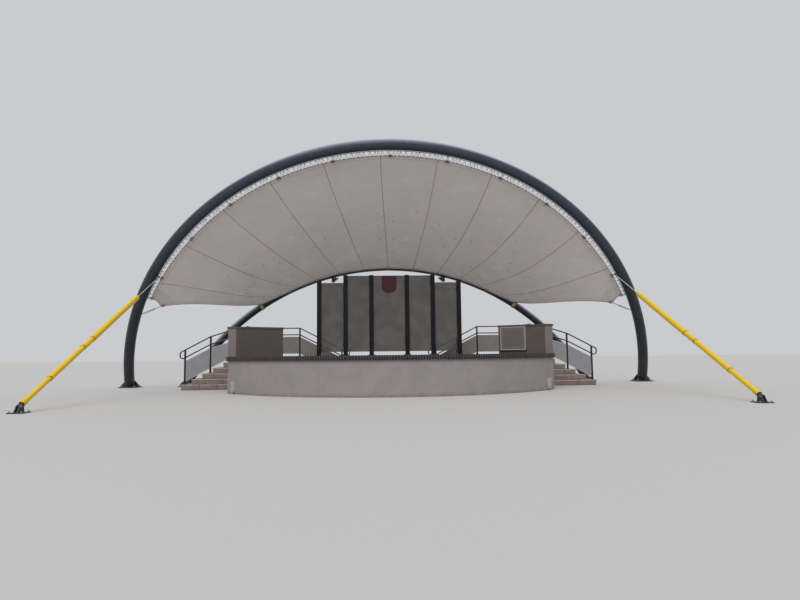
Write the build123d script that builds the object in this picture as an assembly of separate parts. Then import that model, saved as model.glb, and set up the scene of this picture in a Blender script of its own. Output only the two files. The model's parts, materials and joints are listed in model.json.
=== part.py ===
from build123d import *
import os
from math import asin, cos, pi, radians, sin, sqrt

# Outdoor stage: a curved podium with side and rear steps, a glazed screen, and a stretched
# membrane canopy between a large leaning front arch and a low rear arch, held by two guys.
# Millimetres, +Z up, +Y away from the seats, origin on the ground at the centre of the
# circle of the curved front wall. Everything but the notice board is the same left and right.

# Podium
podium_radius = 6000.0
podium_front_half_width = 5000.0
podium_side_x = 5300.0
podium_rear_y = 2200.0
podium_height = 1100.0
wall_thickness = 240.0
floor_thickness = 120.0
stairwell_half_width = 3500.0
stairwell_front_y = 950.0

# Brick-on-edge coping along the curved front
coping_height = 135.0
coping_overhang = 50.0

# Wing walls on the front corners, with ends cut nearly square to the seats and folded metal caps
wing_length = 1700.0
wing_thickness = 240.0
wing_end_skew = 165.0
wing_height = 900.0
cap_overhang = 15.0
cap_plate = 12.0
cap_skirt = 45.0

# Notice board on the right wing wall
board_width = 830.0
board_height = 730.0
board_thickness = 35.0
board_lift = 120.0
board_from_front = 790.0

# Service boxes low on the front wall
box_width = 140.0
box_height = 330.0
box_depth = 70.0
box_lift = 40.0
box_from_corner = 517.0

# Block steps at the sides and plain flights at the rear
riser_count = 6
going = 350.0
flank_y = -1330.0
step_depth = 1700.0

# Balustrades: bent tube rails with end loops, flat posts and infill panels
rail_diameter = 42.4
rail_height = 1100.0
second_rail_drop = 260.0
rail_bend = 90.0
rail_run_out = 300.0
stair_rail_run_out = 170.0
stair_top_slope = 0.3
post_size = 60.0
post_inset = 60.0
panel_thickness = 12.0
panel_foot = 100.0
panel_top = 750.0
stair_panel_foot = 45.0
stair_panel_drop = 390.0

# Glazed screen
screen_y = 670.0
screen_post_x = (670.0, 1640.0, 2625.0)
screen_post_size = 160.0
screen_height = 3000.0
outer_post_drop = 200.0
foot_plate_size = 260.0
foot_plate_thickness = 15.0
glass_thickness = 16.0
glass_lift = 135.0
glass_top_gap = 12.0
outer_glass_top_gap = 80.0

# Shield on the middle pane
shield_width = 555.0
shield_height = 660.0
shield_thickness = 22.0
shield_top_gap = 15.0
shield_curve_height = 230.0
shield_cheek_in = 75.0
shield_cheek_height = 78.0
shield_tip_slope = 0.45

# Front arch: a circular tube in a plane that leans towards the seats
front_radius = 9680.0
front_centre_depth = 780.0
front_lean = 30.0
front_foot_y = 1000.0
front_tube = 355.6
front_segments = 4

# Rear arch: a lower circular tube that leans slightly back, with its feet inside the front ones
rear_rise = 4650.0
rear_foot_inward = 1950.0
rear_lean = -8.3
rear_foot_y = 1350.0
rear_tube = 273.0
rear_segments = 3

# Arch feet: drilled base plates with crossed gussets
front_plate_size = 640.0
front_plate_thickness = 30.0
front_gusset_height = 230.0
front_gusset_shoulder = 58.0
front_bolt_spacing = 500.0
rear_plate_size = 480.0
rear_plate_thickness = 25.0
rear_gusset_height = 160.0
rear_gusset_shoulder = 40.0
rear_bolt_spacing = 360.0
gusset_thickness = 18.0
foot_bolt_hole = 30.0
foot_trim = 680.0

# Canopy membrane: twelve panels, hung inside the front arch and low in front of the rear one
front_lacing_gap = 350.0
front_corner_gap = 285.0
rear_clearance = 40.0
rear_edge_drop = 35.0
rear_corner_lift = 30.0
panel_count = 12
panel_angle = 11.3
edge_panel_angle = 8.3
rear_panel_width = 975.0
rear_edge_panel_width = 155.0
membrane_thickness = 20.0
membrane_sag = 170.0
edge_hollow = 0.34
corner_cut_radius = 450.0
field_gap = 0.0008
field_columns = 7
field_stations = 7
cutter_length = 600.0

# Seam ties: a clamp over the membrane's edge at each seam, and a rod from it to the arch
clamp_width = 130.0
clamp_grip = 50.0
clamp_back = 25.0
clamp_plate = 12.0
clamp_play = 0.6
tie_rod = 16.0
tie_rod_start = 15.0

# Corner fittings: turnbuckle rods at the two tips of each round cut
corner_rod = 26.0
rod_weld_depth = 4.0
corner_body = 50.0
corner_body_length = 260.0
corner_body_share = 0.5
corner_seat_up = 450.0
corner_seat_down = 270.0
rear_corner_inset = 0.3

# Guys, their yellow guard pipes and the ground anchors
guy_height = 4600.0
guy_lug_reach = 235.0
guy_lug_forward = 100.0
guy_lug_width = 66.0
guy_lug_thickness = 30.0
guy_lug_margin = 22.0
guy_cable = 22.0
anchor_x = 7800.0
anchor_y = -9100.0
anchor_eye_z = 130.0
guard_pipe = 110.0
guard_wall = 4.0
guard_start = 240.0
guard_share = 0.763
guard_sleeve = 124.0
guard_sleeve_shares = (0.332, 0.394)
guard_ring_share = 0.14
guard_ring_length = 90.0
anchor_plate_size = 320.0
anchor_plate_thickness = 20.0
anchor_fin_height = 150.0
anchor_fin_thickness = 16.0
anchor_fin_gap = 70.0
anchor_fin_half_foot = 128.0
anchor_fin_top_back = 88.0
anchor_fin_top_front = 16.0
anchor_pin = 33.0
anchor_bolt_spacing = 250.0
anchor_bolt_hole = 22.0

# Small floodlights under the rear arch, their glass turned to the middle of the stage
floodlight_x = 2120.0
floodlight_width = 260.0
floodlight_height = 165.0
floodlight_depth = 180.0
floodlight_foot = 80.0
floodlight_stem = 30.0
floodlight_stem_width = 50.0
stub_length = 1300.0

seat_gap = 0.3

# Worked out from the sizes above
riser = podium_height / riser_count
tread_count = riser_count - 1
steps_foot_x = podium_side_x + tread_count * going
nosing_slope = riser / going
corner_angle = asin(podium_front_half_width / podium_radius)
slab_bottom = podium_height - floor_thickness
front_foot_x = sqrt(front_radius**2 - front_centre_depth**2)
rear_foot_x = front_foot_x - rear_foot_inward
rear_radius = (rear_foot_x**2 + rear_rise**2) / (2 * rear_rise)
rear_centre_depth = rear_radius - rear_rise


def save(shape, name):
    """Writes one piece as a STEP file named for its node."""
    shape.label = name
    export_step(shape, f"parts/{name}.step")


def both_sides(solid):
    """A piece on the right and its mirror image on the left, as one node."""
    return Compound(children=[solid, mirror(solid, about=Plane.YZ)])


def block(x0, x1, y0, y1, z0, z1):
    """A box between two corners."""
    return Pos(x0, y0, z0) * Box(x1 - x0, y1 - y0, z1 - z0, align=(Align.MIN,) * 3)


def rod(start, end, diameter):
    """A round bar from one point to another."""
    axis = Vector(end) - Vector(start)
    plane = Plane(origin=start, z_dir=axis)
    return extrude(plane * Circle(diameter / 2), axis.length)


def tube_between(start, end, outer, inner):
    """A pipe from one point to another."""
    axis = Vector(end) - Vector(start)
    plane = Plane(origin=start, z_dir=axis)
    return extrude(plane * (Circle(outer / 2) - Circle(inner / 2)), axis.length)


# Podium

def podium_plan(inset, rear_y):
    """The podium's outline, moved inwards by the inset, without the stairwell."""
    radius = podium_radius - inset
    half = podium_front_half_width - inset
    side = podium_side_x - inset
    corner_y = -sqrt(radius**2 - half**2)
    shoulder_y = flank_y + inset
    front = ThreePointArc((-half, corner_y), (0, -radius), (half, corner_y))
    sides = Polyline(
        (half, corner_y), (half, shoulder_y), (side, shoulder_y), (side, rear_y),
        (-side, rear_y), (-side, shoulder_y), (-half, shoulder_y), (-half, corner_y),
    )
    return make_face([*front.edges(), *sides.edges()])


def stairwell(inset, bottom, top):
    """The space cut out of the podium's rear for the two flights, widened by the inset."""
    half = stairwell_half_width + inset
    return block(-half, half, stairwell_front_y - inset, podium_rear_y + wall_thickness, bottom, top)


def make_podium():
    """Retaining walls, compacted fill, floor slab and landings."""
    outer = extrude(podium_plan(0, podium_rear_y), podium_height) - stairwell(0, 0, podium_height)
    core = podium_plan(wall_thickness, podium_rear_y - wall_thickness)
    hollow = extrude(core, podium_height) - stairwell(wall_thickness, 0, podium_height)
    ring = outer - hollow
    corner_y = -podium_radius * cos(corner_angle)
    reach = podium_side_x + podium_radius
    front_space = block(-reach, reach, -reach, corner_y, 0, podium_height - coping_height)
    rear_space = block(-reach, reach, stairwell_front_y - wall_thickness, reach, 0, podium_height)
    side_space = block(-reach, reach, corner_y, stairwell_front_y - wall_thickness, 0, podium_height)
    save(ring & front_space, "front_retaining_wall")
    save(ring & side_space, "side_retaining_walls")
    save(ring & rear_space, "rear_retaining_wall")

    split_y = stairwell_front_y - wall_thickness
    front_half = block(-reach, reach, -reach, split_y, 0, podium_height)
    rear_half = block(-reach, reach, split_y, reach, 0, podium_height)
    below = block(-reach, reach, -reach, reach, 0, slab_bottom)
    above = block(-reach, reach, -reach, reach, slab_bottom, podium_height)
    save(hollow & front_half & below, "podium_fill")
    save(hollow & rear_half & below, "rear_podium_fill")
    save(hollow & front_half & above, "stage_floor")
    save(hollow & rear_half & above, "rear_landings")


def make_coping():
    """The row of bricks on edge, as one curved band between the front corners."""
    outer_radius = podium_radius + coping_overhang
    inner_radius = podium_radius - wall_thickness
    end = corner_angle + coping_overhang / podium_radius

    def ends(radius):
        return (-radius * sin(end), -radius * cos(end)), (radius * sin(end), -radius * cos(end))

    outer_left, outer_right = ends(outer_radius)
    inner_left, inner_right = ends(inner_radius)
    outline = [
        ThreePointArc(outer_left, (0, -outer_radius), outer_right),
        Line(outer_right, inner_right),
        ThreePointArc(inner_right, (0, -inner_radius), inner_left),
        Line(inner_left, outer_left),
    ]
    band = extrude(make_face([e for part in outline for e in part.edges()]), coping_height)
    corner_y = -podium_radius * cos(corner_angle)
    reach = podium_side_x + podium_radius
    space = block(-reach, reach, -reach, corner_y, 0, coping_height)
    save(Pos(0, 0, podium_height - coping_height) * (band & space), "brick_coping")


# Wing walls

def wing_place(offset_in, along_from_front, z):
    """The frame of the right wing wall: X along the wall from its front end, Y to the stage's middle."""
    radial = Vector(sin(corner_angle), -cos(corner_angle), 0)
    inward = Vector(-cos(corner_angle), -sin(corner_angle), 0)
    start = radial * (podium_radius - along_from_front) + inward * offset_in
    return Plane(origin=(start.X, start.Y, z), x_dir=-radial, z_dir=(0, 0, 1))


def wing_block(length_from, length_to, depth_from, depth_to, z0, z1):
    """A box in the right wing wall's own directions: along it, through it and up."""
    low = Pos(length_from, depth_from, 0)
    size = (length_to - length_from, depth_to - depth_from, z1 - z0)
    return wing_place(0, 0, z0) * low * Box(*size, align=(Align.MIN,) * 3)


def wing_solid(margin, z0, z1):
    """The right wing wall's plan with its skewed front end, widened by a margin, from z0 up to z1."""
    corners = [(0, 0), (wing_length, 0), (wing_length, wing_thickness), (wing_end_skew, wing_thickness)]
    plan = make_face(Polyline(*corners, close=True).edges())
    if margin > 0:
        plan = offset(plan, margin, kind=Kind.INTERSECTION)
    return extrude(wing_place(0, 0, z0) * plan, z1 - z0)


def make_wing_walls():
    """Two low walls set radially on the front corners, their caps and the notice board."""
    top = podium_height + wing_height
    wall = wing_solid(0, podium_height, top)
    save(wall, "wing_wall_right")
    save(mirror(wall, about=Plane.YZ), "wing_wall_left")
    cap = wing_solid(cap_overhang, top - cap_skirt, top + cap_plate)
    hollow = wing_solid(0, top - cap_skirt, top)
    save(both_sides(cap - hollow), "wing_wall_caps")

    board_z = podium_height + board_lift
    start = board_from_front
    face = wing_thickness
    board_top = board_z + board_height
    frame = wing_block(start, start + board_width, face, face + board_thickness, board_z, board_top)
    rim = board_thickness / 2
    recess = wing_block(
        start + rim, start + board_width - rim, face + rim, face + board_thickness,
        board_z + rim, board_z + board_height - rim,
    )
    save(frame - recess, "notice_board")


def make_service_boxes():
    """A meter box low on the wall at the right corner, and its twin at the left."""
    turn = corner_angle - box_from_corner / podium_radius
    place = Vector(sin(turn), -cos(turn), 0)
    spot = place * podium_radius
    plane = Plane(origin=(spot.X, spot.Y, box_lift), x_dir=place, z_dir=(0, 0, 1))
    body = plane * Box(2 * box_depth, box_width, box_height, align=(Align.CENTER, Align.CENTER, Align.MIN))
    drum = extrude(Circle(podium_radius), podium_height)
    save(both_sides(body - drum), "service_boxes")


# Steps

def make_side_steps():
    """Each course of blocks runs from its nosing to the podium's side wall."""
    for course in range(tread_count):
        nosing = steps_foot_x - course * going
        bottom = course * riser
        slab = block(podium_side_x, nosing, flank_y, flank_y + step_depth, bottom, bottom + riser)
        save(both_sides(slab), f"step_course_{course + 1}")


def make_rear_steps():
    """A solid flight on each side of the stairwell, going down towards the middle."""
    outline = [(stairwell_half_width, 0)]
    for step in range(tread_count):
        top = podium_height - (step + 1) * riser
        outline.append((stairwell_half_width - step * going, top))
        outline.append((stairwell_half_width - (step + 1) * going, top))
    outline.append((stairwell_half_width - tread_count * going, 0))
    face = Plane(origin=(0, podium_rear_y, 0), x_dir=(1, 0, 0), z_dir=(0, -1, 0)) * make_face(
        Polyline(*outline, close=True).edges()
    )
    flight = extrude(face, podium_rear_y - stairwell_front_y)
    save(flight, "rear_steps_right")
    save(mirror(flight, about=Plane.YZ), "rear_steps_left")


# Balustrades

def rail_tube(points):
    """A bent tube through the points, with round corners."""
    path = FilletPolyline(*points, radius=rail_bend)
    wire = Wire(path.edges())
    start = Plane(origin=wire.position_at(0), z_dir=wire.tangent_at(0))
    return sweep(start * Circle(rail_diameter / 2), path=wire)


def nosing_z(x):
    """Height of the side steps' nosing line at a distance from the podium's middle."""
    return riser + (steps_foot_x - x) * nosing_slope


def stand(x, y, bottom, top):
    """One balustrade post."""
    half = post_size / 2
    return block(x - half, x + half, y - half / 2, y + half / 2, bottom, top)


def make_stair_balustrades():
    """A balustrade on the audience side of each flight: two rails joined by a loop, posts and panels."""
    y = flank_y + post_inset
    low_x = steps_foot_x - 2 * post_size
    top_x = podium_side_x - post_inset
    mid_x = (low_x + top_x) / 2

    def rail_z(x):
        """Height of the upper rail: it follows the nosings and is gentler above the middle post."""
        return nosing_z(max(x, mid_x)) + rail_height + max(0.0, mid_x - x) * stair_top_slope

    upper = [(x, y, rail_z(x)) for x in (top_x, mid_x, low_x + stair_rail_run_out)]
    lower = [(x, rail_y, z - second_rail_drop) for x, rail_y, z in reversed(upper)]
    solids = rail_tube(upper + lower)
    mid_foot = riser * (1 + int((steps_foot_x - mid_x) // going))
    for x, foot in ((low_x, riser), (mid_x, mid_foot), (top_x, podium_height)):
        solids = solids + stand(x, y, foot, rail_z(x))
    save(solids, "stair_railing_right")
    save(mirror(solids, about=Plane.YZ), "stair_railing_left")

    half = post_size / 2
    panels = []
    for outer, inner in ((low_x, mid_x), (mid_x, top_x)):
        ends = [
            (x, nosing_z(x) + stair_panel_foot, rail_z(x) - stair_panel_drop)
            for x in (outer - half, inner + half)
        ]
        panels.append(upright_panel(*ends, y))
    return panels


def upright_panel(start, end, y):
    """An infill panel along X between two ends, each given by its place, its foot and its top."""
    x0, foot0, top0 = start
    x1, foot1, top1 = end
    corners = [(x0, foot0), (x1, foot1), (x1, top1), (x0, top0)]
    plane = Plane(origin=(0, y + panel_thickness / 2, 0), x_dir=(1, 0, 0), z_dir=(0, -1, 0))
    return extrude(plane * make_face(Polyline(*corners, close=True).edges()), panel_thickness)


def make_rear_balustrades():
    """Round the rear corner of the podium and down beside each rear flight."""
    side_x = podium_side_x - post_inset
    start_y = flank_y + step_depth + post_inset
    back_y = podium_rear_y - post_inset
    level = podium_height + rail_height
    turn_x = stairwell_half_width + post_size / 2
    low_x = stairwell_half_width - tread_count * going + 2 * post_size
    low_rail = riser + rail_height + 2 * post_size * nosing_slope
    end_x = low_x - rail_run_out
    upper = [
        (side_x, start_y, level), (side_x, back_y, level), (turn_x, back_y, level),
        (low_x, back_y, low_rail), (end_x, back_y, low_rail),
    ]
    lower = [(x, y, z - second_rail_drop) for x, y, z in reversed(upper)]
    solids = rail_tube(upper + lower)
    slope = (level - low_rail) / (turn_x - low_x)
    mid_x = (turn_x + low_x) / 2
    mid_foot = podium_height - riser * (1 + int((stairwell_half_width - mid_x) // going))
    half = post_size / 2
    for x, y, foot, line in (
        (side_x, start_y, podium_height, level),
        (side_x, back_y, podium_height, level),
        (turn_x, back_y, podium_height, level),
        (mid_x, back_y, mid_foot, level - (turn_x - mid_x) * slope),
        (low_x, back_y, riser, low_rail),
    ):
        solids = solids + stand(x, y, foot, line)
    save(solids, "rear_railing_right")
    save(mirror(solids, about=Plane.YZ), "rear_railing_left")

    floor = podium_height
    panels = [
        block(
            side_x - panel_thickness / 2, side_x + panel_thickness / 2, start_y + half / 2, back_y - half / 2,
            floor + panel_foot, floor + panel_top,
        ),
        block(
            turn_x + half, side_x - half, back_y - panel_thickness / 2, back_y + panel_thickness / 2,
            floor + panel_foot, floor + panel_top,
        ),
    ]
    for outer, inner in ((turn_x, mid_x), (mid_x, low_x)):
        bases = [(x, floor - (turn_x - x) * slope) for x in (outer - half, inner + half)]
        ends = [(x, base + panel_foot, base + panel_top) for x, base in bases]
        panels.append(upright_panel(*ends, back_y))
    return panels


def make_balustrades():
    """Rails, posts and all infill panels."""
    stair_panels = make_stair_balustrades()
    rear_panels = make_rear_balustrades()
    for name, panels in (("stair_panels", stair_panels), ("rear_panels", rear_panels)):
        twins = [mirror(panel, about=Plane.YZ) for panel in panels]
        save(Compound(children=panels + twins), name)


# Screen

def make_screen():
    """Six square posts with foot plates and five smoked panes between them."""
    half = screen_post_size / 2
    level = podium_height + screen_height
    tops = [level, level, level - outer_post_drop]
    posts = []
    for x, top in zip(screen_post_x, tops):
        shaft = block(x - half, x + half, screen_y - half, screen_y + half, podium_height, top)
        flange = foot_plate_size / 2
        foot = block(
            x - flange, x + flange, screen_y - flange, screen_y + flange,
            podium_height, podium_height + foot_plate_thickness,
        )
        post = shaft + foot
        posts += [post, mirror(post, about=Plane.YZ)]
    save(Compound(children=posts), "screen_posts")

    inner_x, mid_x, outer_x = screen_post_x
    glass = glass_thickness / 2
    bottom = podium_height + glass_lift
    middle_top = tops[0] - glass_top_gap
    panes = [block(half - inner_x, inner_x - half, screen_y - glass, screen_y + glass, bottom, middle_top)]
    for x0, x1, top in ((inner_x, mid_x, middle_top), (mid_x, outer_x, tops[2] - outer_glass_top_gap)):
        pane = block(x0 + half, x1 - half, screen_y - glass, screen_y + glass, bottom, top)
        panes += [pane, mirror(pane, about=Plane.YZ)]
    save(Compound(children=panes), "screen_glass")

    crown = middle_top - shield_top_gap
    side = shield_width / 2
    tip = crown - shield_height
    shoulder = tip + shield_curve_height
    cheek_x = side - shield_cheek_in
    cheek_z = tip + shield_cheek_height
    fall = shield_tip_slope
    right_curve = Spline((side, shoulder), (cheek_x, cheek_z), (0, tip), tangents=[(0, -1), (-1, -fall)])
    left_curve = Spline((0, tip), (-cheek_x, cheek_z), (-side, shoulder), tangents=[(-1, fall), (0, 1)])
    sides = Polyline((-side, shoulder), (-side, crown), (side, crown), (side, shoulder))
    front = Plane(origin=(0, screen_y - glass, 0), x_dir=(1, 0, 0), z_dir=(0, -1, 0))
    outline = [*right_curve.edges(), *left_curve.edges(), *sides.edges()]
    save(extrude(front * make_face(outline), shield_thickness), "shield_plaque")


# Arches

def arch_point(radius, depth, lean, foot_y, angle, forward=0.0):
    """A point of a leaning circle: angle from the right horizontal, forward of its plane."""
    rise = radius * sin(angle) - depth
    tilt = radians(lean)
    return Vector(
        radius * cos(angle),
        foot_y - rise * sin(tilt) - forward * cos(tilt),
        rise * cos(tilt) - forward * sin(tilt),
    )


def front_point(angle, inset=0.0, forward=0.0):
    """A point on the front arch's circle, or inside it by the inset."""
    rise_loss = inset * sin(angle)
    tilt = radians(front_lean)
    point = arch_point(front_radius, front_centre_depth, front_lean, front_foot_y, angle, forward)
    return point - Vector(inset * cos(angle), -rise_loss * sin(tilt), rise_loss * cos(tilt))


def rear_point(angle):
    """A point on the rear arch's circle."""
    return arch_point(rear_radius, rear_centre_depth, rear_lean, rear_foot_y, angle)


def arch_tube(point, start, end, diameter):
    """A round tube along a circle, from one angle to another."""
    path = ThreePointArc(point(start), point((start + end) / 2), point(end))
    section = Plane(origin=path.position_at(0), z_dir=path.tangent_at(0)) * Circle(diameter / 2)
    return sweep(section, path=Wire(path.edges()))


def make_arch(
    name, point, radius, foot_angle, count, diameter,
    plate, plate_thickness, gusset, shoulder_height, spacing,
):
    """One arch in welded lengths, and its two drilled and stiffened base plates."""
    margin = foot_trim / radius
    edges = [foot_angle + (pi - 2 * foot_angle) * i / count for i in range(count + 1)]
    edges[0] -= margin
    edges[-1] += margin
    reach = 2 * front_radius
    ground = block(-reach, reach, -reach, reach, -reach, plate_thickness)
    right_end = None
    for i in range(count):
        length = arch_tube(point, edges[i], edges[i + 1], diameter)
        if i in (0, count - 1):
            length = length - ground
        if i == 0:
            right_end = length
        save(length, f"{name}_{i + 1}")

    foot = point(foot_angle)
    half = plate / 2
    base = block(foot.X - half, foot.X + half, foot.Y - half, foot.Y + half, 0, plate_thickness)
    reach_hole = spacing / 2
    for x in (-reach_hole, reach_hole):
        for y in (-reach_hole, reach_hole):
            base = base - Pos(foot.X + x, foot.Y + y, 0) * Cylinder(foot_bolt_hole / 2, 3 * plate_thickness)
    shoulder = plate_thickness + shoulder_height
    top = plate_thickness + gusset
    inner = diameter / 2
    profile = Polyline(
        (-half, plate_thickness), (half, plate_thickness), (half, shoulder), (inner, top),
        (-inner, top), (-half, shoulder), close=True,
    )
    across = Plane(origin=(foot.X, foot.Y + gusset_thickness / 2, 0), x_dir=(1, 0, 0), z_dir=(0, -1, 0))
    along = Plane(origin=(foot.X - gusset_thickness / 2, foot.Y, 0), x_dir=(0, 1, 0), z_dir=(1, 0, 0))
    fins = extrude(across * make_face(profile.edges()), gusset_thickness)
    fins = fins + extrude(along * make_face(profile.edges()), gusset_thickness)
    fins = fins - right_end
    save(both_sides(base + fins), f"{name}_feet")


def make_arches():
    """The front and the rear arch."""
    front_foot = asin(front_centre_depth / front_radius)
    make_arch(
        "front_arch", front_point, front_radius, front_foot, front_segments, front_tube, front_plate_size,
        front_plate_thickness, front_gusset_height, front_gusset_shoulder, front_bolt_spacing,
    )
    rear_foot = asin(rear_centre_depth / rear_radius)
    make_arch(
        "rear_arch", rear_point, rear_radius, rear_foot, rear_segments, rear_tube, rear_plate_size,
        rear_plate_thickness, rear_gusset_height, rear_gusset_shoulder, rear_bolt_spacing,
    )


# Canopy

half_count = panel_count // 2


def seam_angle(seam):
    """Angle of a seam on the front arch: 0 is the middle seam, half_count the free edge."""
    inner = min(abs(seam), half_count - 1)
    outer = abs(seam) - inner
    angle = inner * panel_angle + outer * edge_panel_angle
    return radians(90 - angle if seam >= 0 else 90 + angle)


def seam_rear_x(seam):
    """Distance of a seam from the middle, at the rear arch."""
    inner = min(abs(seam), half_count - 1)
    outer = abs(seam) - inner
    width = inner * rear_panel_width + outer * rear_edge_panel_width
    return width if seam >= 0 else -width


def rear_angle(seam):
    """Angle of a seam on the rear arch."""
    angle = asin(sqrt(1 - (seam_rear_x(seam) / rear_radius) ** 2))
    return angle if seam >= 0 else pi - angle


def corner_ease(seam):
    """0 in the middle fields, easing to 1 at the free edge."""
    to_corner = max(0.0, abs(seam) - (half_count - 2)) / 2
    return to_corner * to_corner * (3 - 2 * to_corner)


def rear_edge_point(seam, distance):
    """A point at a distance from the rear arch's centre line, towards the membrane's edge."""
    angle = rear_angle(seam)
    tilt = radians(rear_lean)
    forward = Vector(0, -cos(tilt), -sin(tilt))
    outward = Vector(cos(angle), -sin(angle) * sin(tilt), sin(angle) * cos(tilt))
    turn = radians(-rear_edge_drop + (rear_edge_drop + rear_corner_lift) * corner_ease(seam))
    return rear_point(angle) + (forward * cos(turn) + outward * sin(turn)) * distance


def canopy_point(seam, share):
    """A point of the membrane: the seam counts panels from the middle, the share runs front to rear."""
    front_angle = seam_angle(seam)
    lacing_gap = front_lacing_gap - (front_lacing_gap - front_corner_gap) * corner_ease(seam)
    front = front_point(front_angle, lacing_gap)
    rear = rear_edge_point(seam, rear_tube / 2 + rear_clearance)
    lean_in = (front_angle + rear_angle(seam)) / 2
    sag = membrane_sag * 4 * share * (1 - share)
    return front + (rear - front) * share - Vector(cos(lean_in), 0, sin(lean_in)) * sag


def hollowed(seam, share):
    """The seam number moved inwards near the free edge, which is hollow between its corners."""
    free = max(0.0, abs(seam) - (half_count - 2)) / 2
    pull = free * edge_hollow * 4 * share * (1 - share)
    return seam - pull if seam > 0 else seam + pull


def canopy_field(from_seam, to_seam):
    """Two panels as one thin curved sheet."""
    rows = []
    for i in range(field_columns):
        seam = from_seam + (to_seam + field_gap - from_seam) * i / (field_columns - 1)
        shares = [j / (field_stations - 1) for j in range(field_stations)]
        rows.append([canopy_point(hollowed(seam, share), share) for share in shares])
    face = Face.make_surface_from_array_of_points(rows)
    return thicken(face, membrane_thickness / 2, both=True)


def corner_frame():
    """The membrane's virtual front corner on the right, with its outward and rearward directions."""
    corner = canopy_point(half_count, 0)
    along_front = (canopy_point(half_count - 1, 0) - corner).normalized()
    share = corner_cut_radius / (canopy_point(half_count, 1) - corner).length
    along_edge = (canopy_point(hollowed(half_count, share), share) - corner).normalized()
    return corner, along_front, along_edge


def make_canopy():
    """Six fields of two welded panels with round cuts at the front corners, fittings and seam ties."""
    corner, along_front, along_edge = corner_frame()
    normal = along_front.cross(along_edge).normalized()
    plane = Plane(origin=corner - normal * cutter_length / 2, z_dir=normal)
    cutter = extrude(plane * Circle(corner_cut_radius), cutter_length)
    names = ("outer", "middle", "inner")
    for name, first in zip(names, (half_count, half_count - 2, half_count - 4)):
        field = canopy_field(first, first - 2)
        if name == "outer":
            field = field - cutter
            make_corner_fittings(field)
            make_seam_ties(field)
        save(field, f"canopy_{name}_right")
        save(mirror(field, about=Plane.YZ), f"canopy_{name}_left")


def edge_clamp(edge, inward, along, seat):
    """A forked clamp that grips the membrane's edge, and its rod to the seat on the arch."""
    upward = along.cross(inward).normalized()
    slot = membrane_thickness / 2 + clamp_play
    plane = Plane(origin=edge, x_dir=along, z_dir=upward)
    turn = 1 if plane.y_dir.dot(inward) > 0 else -1
    body_length = clamp_back + clamp_grip
    body_height = 2 * (slot + clamp_plate)
    body = Pos(0, turn * (body_length / 2 - clamp_back), 0) * Box(clamp_width, body_length, body_height)
    gap = Pos(0, turn * (body_length / 2 - clamp_play), 0) * Box(2 * clamp_width, body_length, 2 * slot)
    start = edge + (seat - edge).normalized() * tie_rod_start
    return plane * (body - gap) + rod(start, seat, tie_rod)


def make_seam_ties(outer_field):
    """At both ends of every seam, a clamp on the membrane's edge and a rod to the arch."""
    step = 0.01
    for name, last in (("front_seam_ties", half_count - 1), ("rear_seam_ties", half_count - 2)):
        solids = []
        for seam in range(last + 1):
            share, towards = (0, step) if name == "front_seam_ties" else (1, 1 - step)
            edge = canopy_point(seam, share)
            inward = (canopy_point(seam, towards) - edge).normalized()
            along = (canopy_point(seam + step, share) - canopy_point(seam - step, share)).normalized()
            if name == "front_seam_ties":
                seat = front_point(seam_angle(seam), front_tube / 2 + seat_gap)
            else:
                seat = rear_edge_point(seam, rear_tube / 2 + seat_gap)
            tie = edge_clamp(edge, inward, along, seat)
            if seam >= half_count - 2:
                tie = tie - outer_field
            solids.append(tie)
            if seam > 0:
                solids.append(mirror(tie, about=Plane.YZ))
        save(Compound(children=solids), name)


def make_corner_fittings(field):
    """A turnbuckle rod to the arch from each tip of the round cut, and a stud at the rear corner."""
    corner, along_front, along_edge = corner_frame()
    tip_a = corner + along_front * corner_cut_radius
    tip_b = corner + along_edge * corner_cut_radius
    angle_a = seam_angle(half_count) + corner_seat_up / front_radius
    angle_b = seam_angle(half_count) - corner_seat_down / front_radius
    seam = half_count - rear_corner_inset
    tip_c = rear_edge_point(seam, rear_tube / 2 + 2 * rear_clearance)
    seat_c = rear_edge_point(seam, rear_tube / 2 - rod_weld_depth)
    stub = rear_stub(rear_angle(seam))
    solids = [rod(seat_c, tip_c, corner_body) - field - stub]
    for tip, angle in ((tip_a, angle_a), (tip_b, angle_b)):
        seat = front_point(angle, front_tube / 2 - rod_weld_depth)
        reach = (tip - seat).length
        pull = (tip - seat).normalized()
        bar = rod(seat, tip, corner_rod)
        middle = seat + pull * reach / 2
        length = min(corner_body_length, reach * corner_body_share)
        body = rod(middle - pull * length / 2, middle + pull * length / 2, corner_body)
        solids.append(bar + body - field - front_stub(angle))
    twins = [mirror(solid, about=Plane.YZ) for solid in solids]
    save(Compound(children=solids + twins), "corner_fittings")


# Guys

def guy_ends():
    """The right guy's lug on the front arch and its eye on the ground anchor."""
    angle = asin((guy_height + front_centre_depth) / front_radius)
    lug = front_point(angle, guy_lug_reach, guy_lug_forward)
    return lug, Vector(anchor_x, anchor_y, anchor_eye_z)


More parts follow.
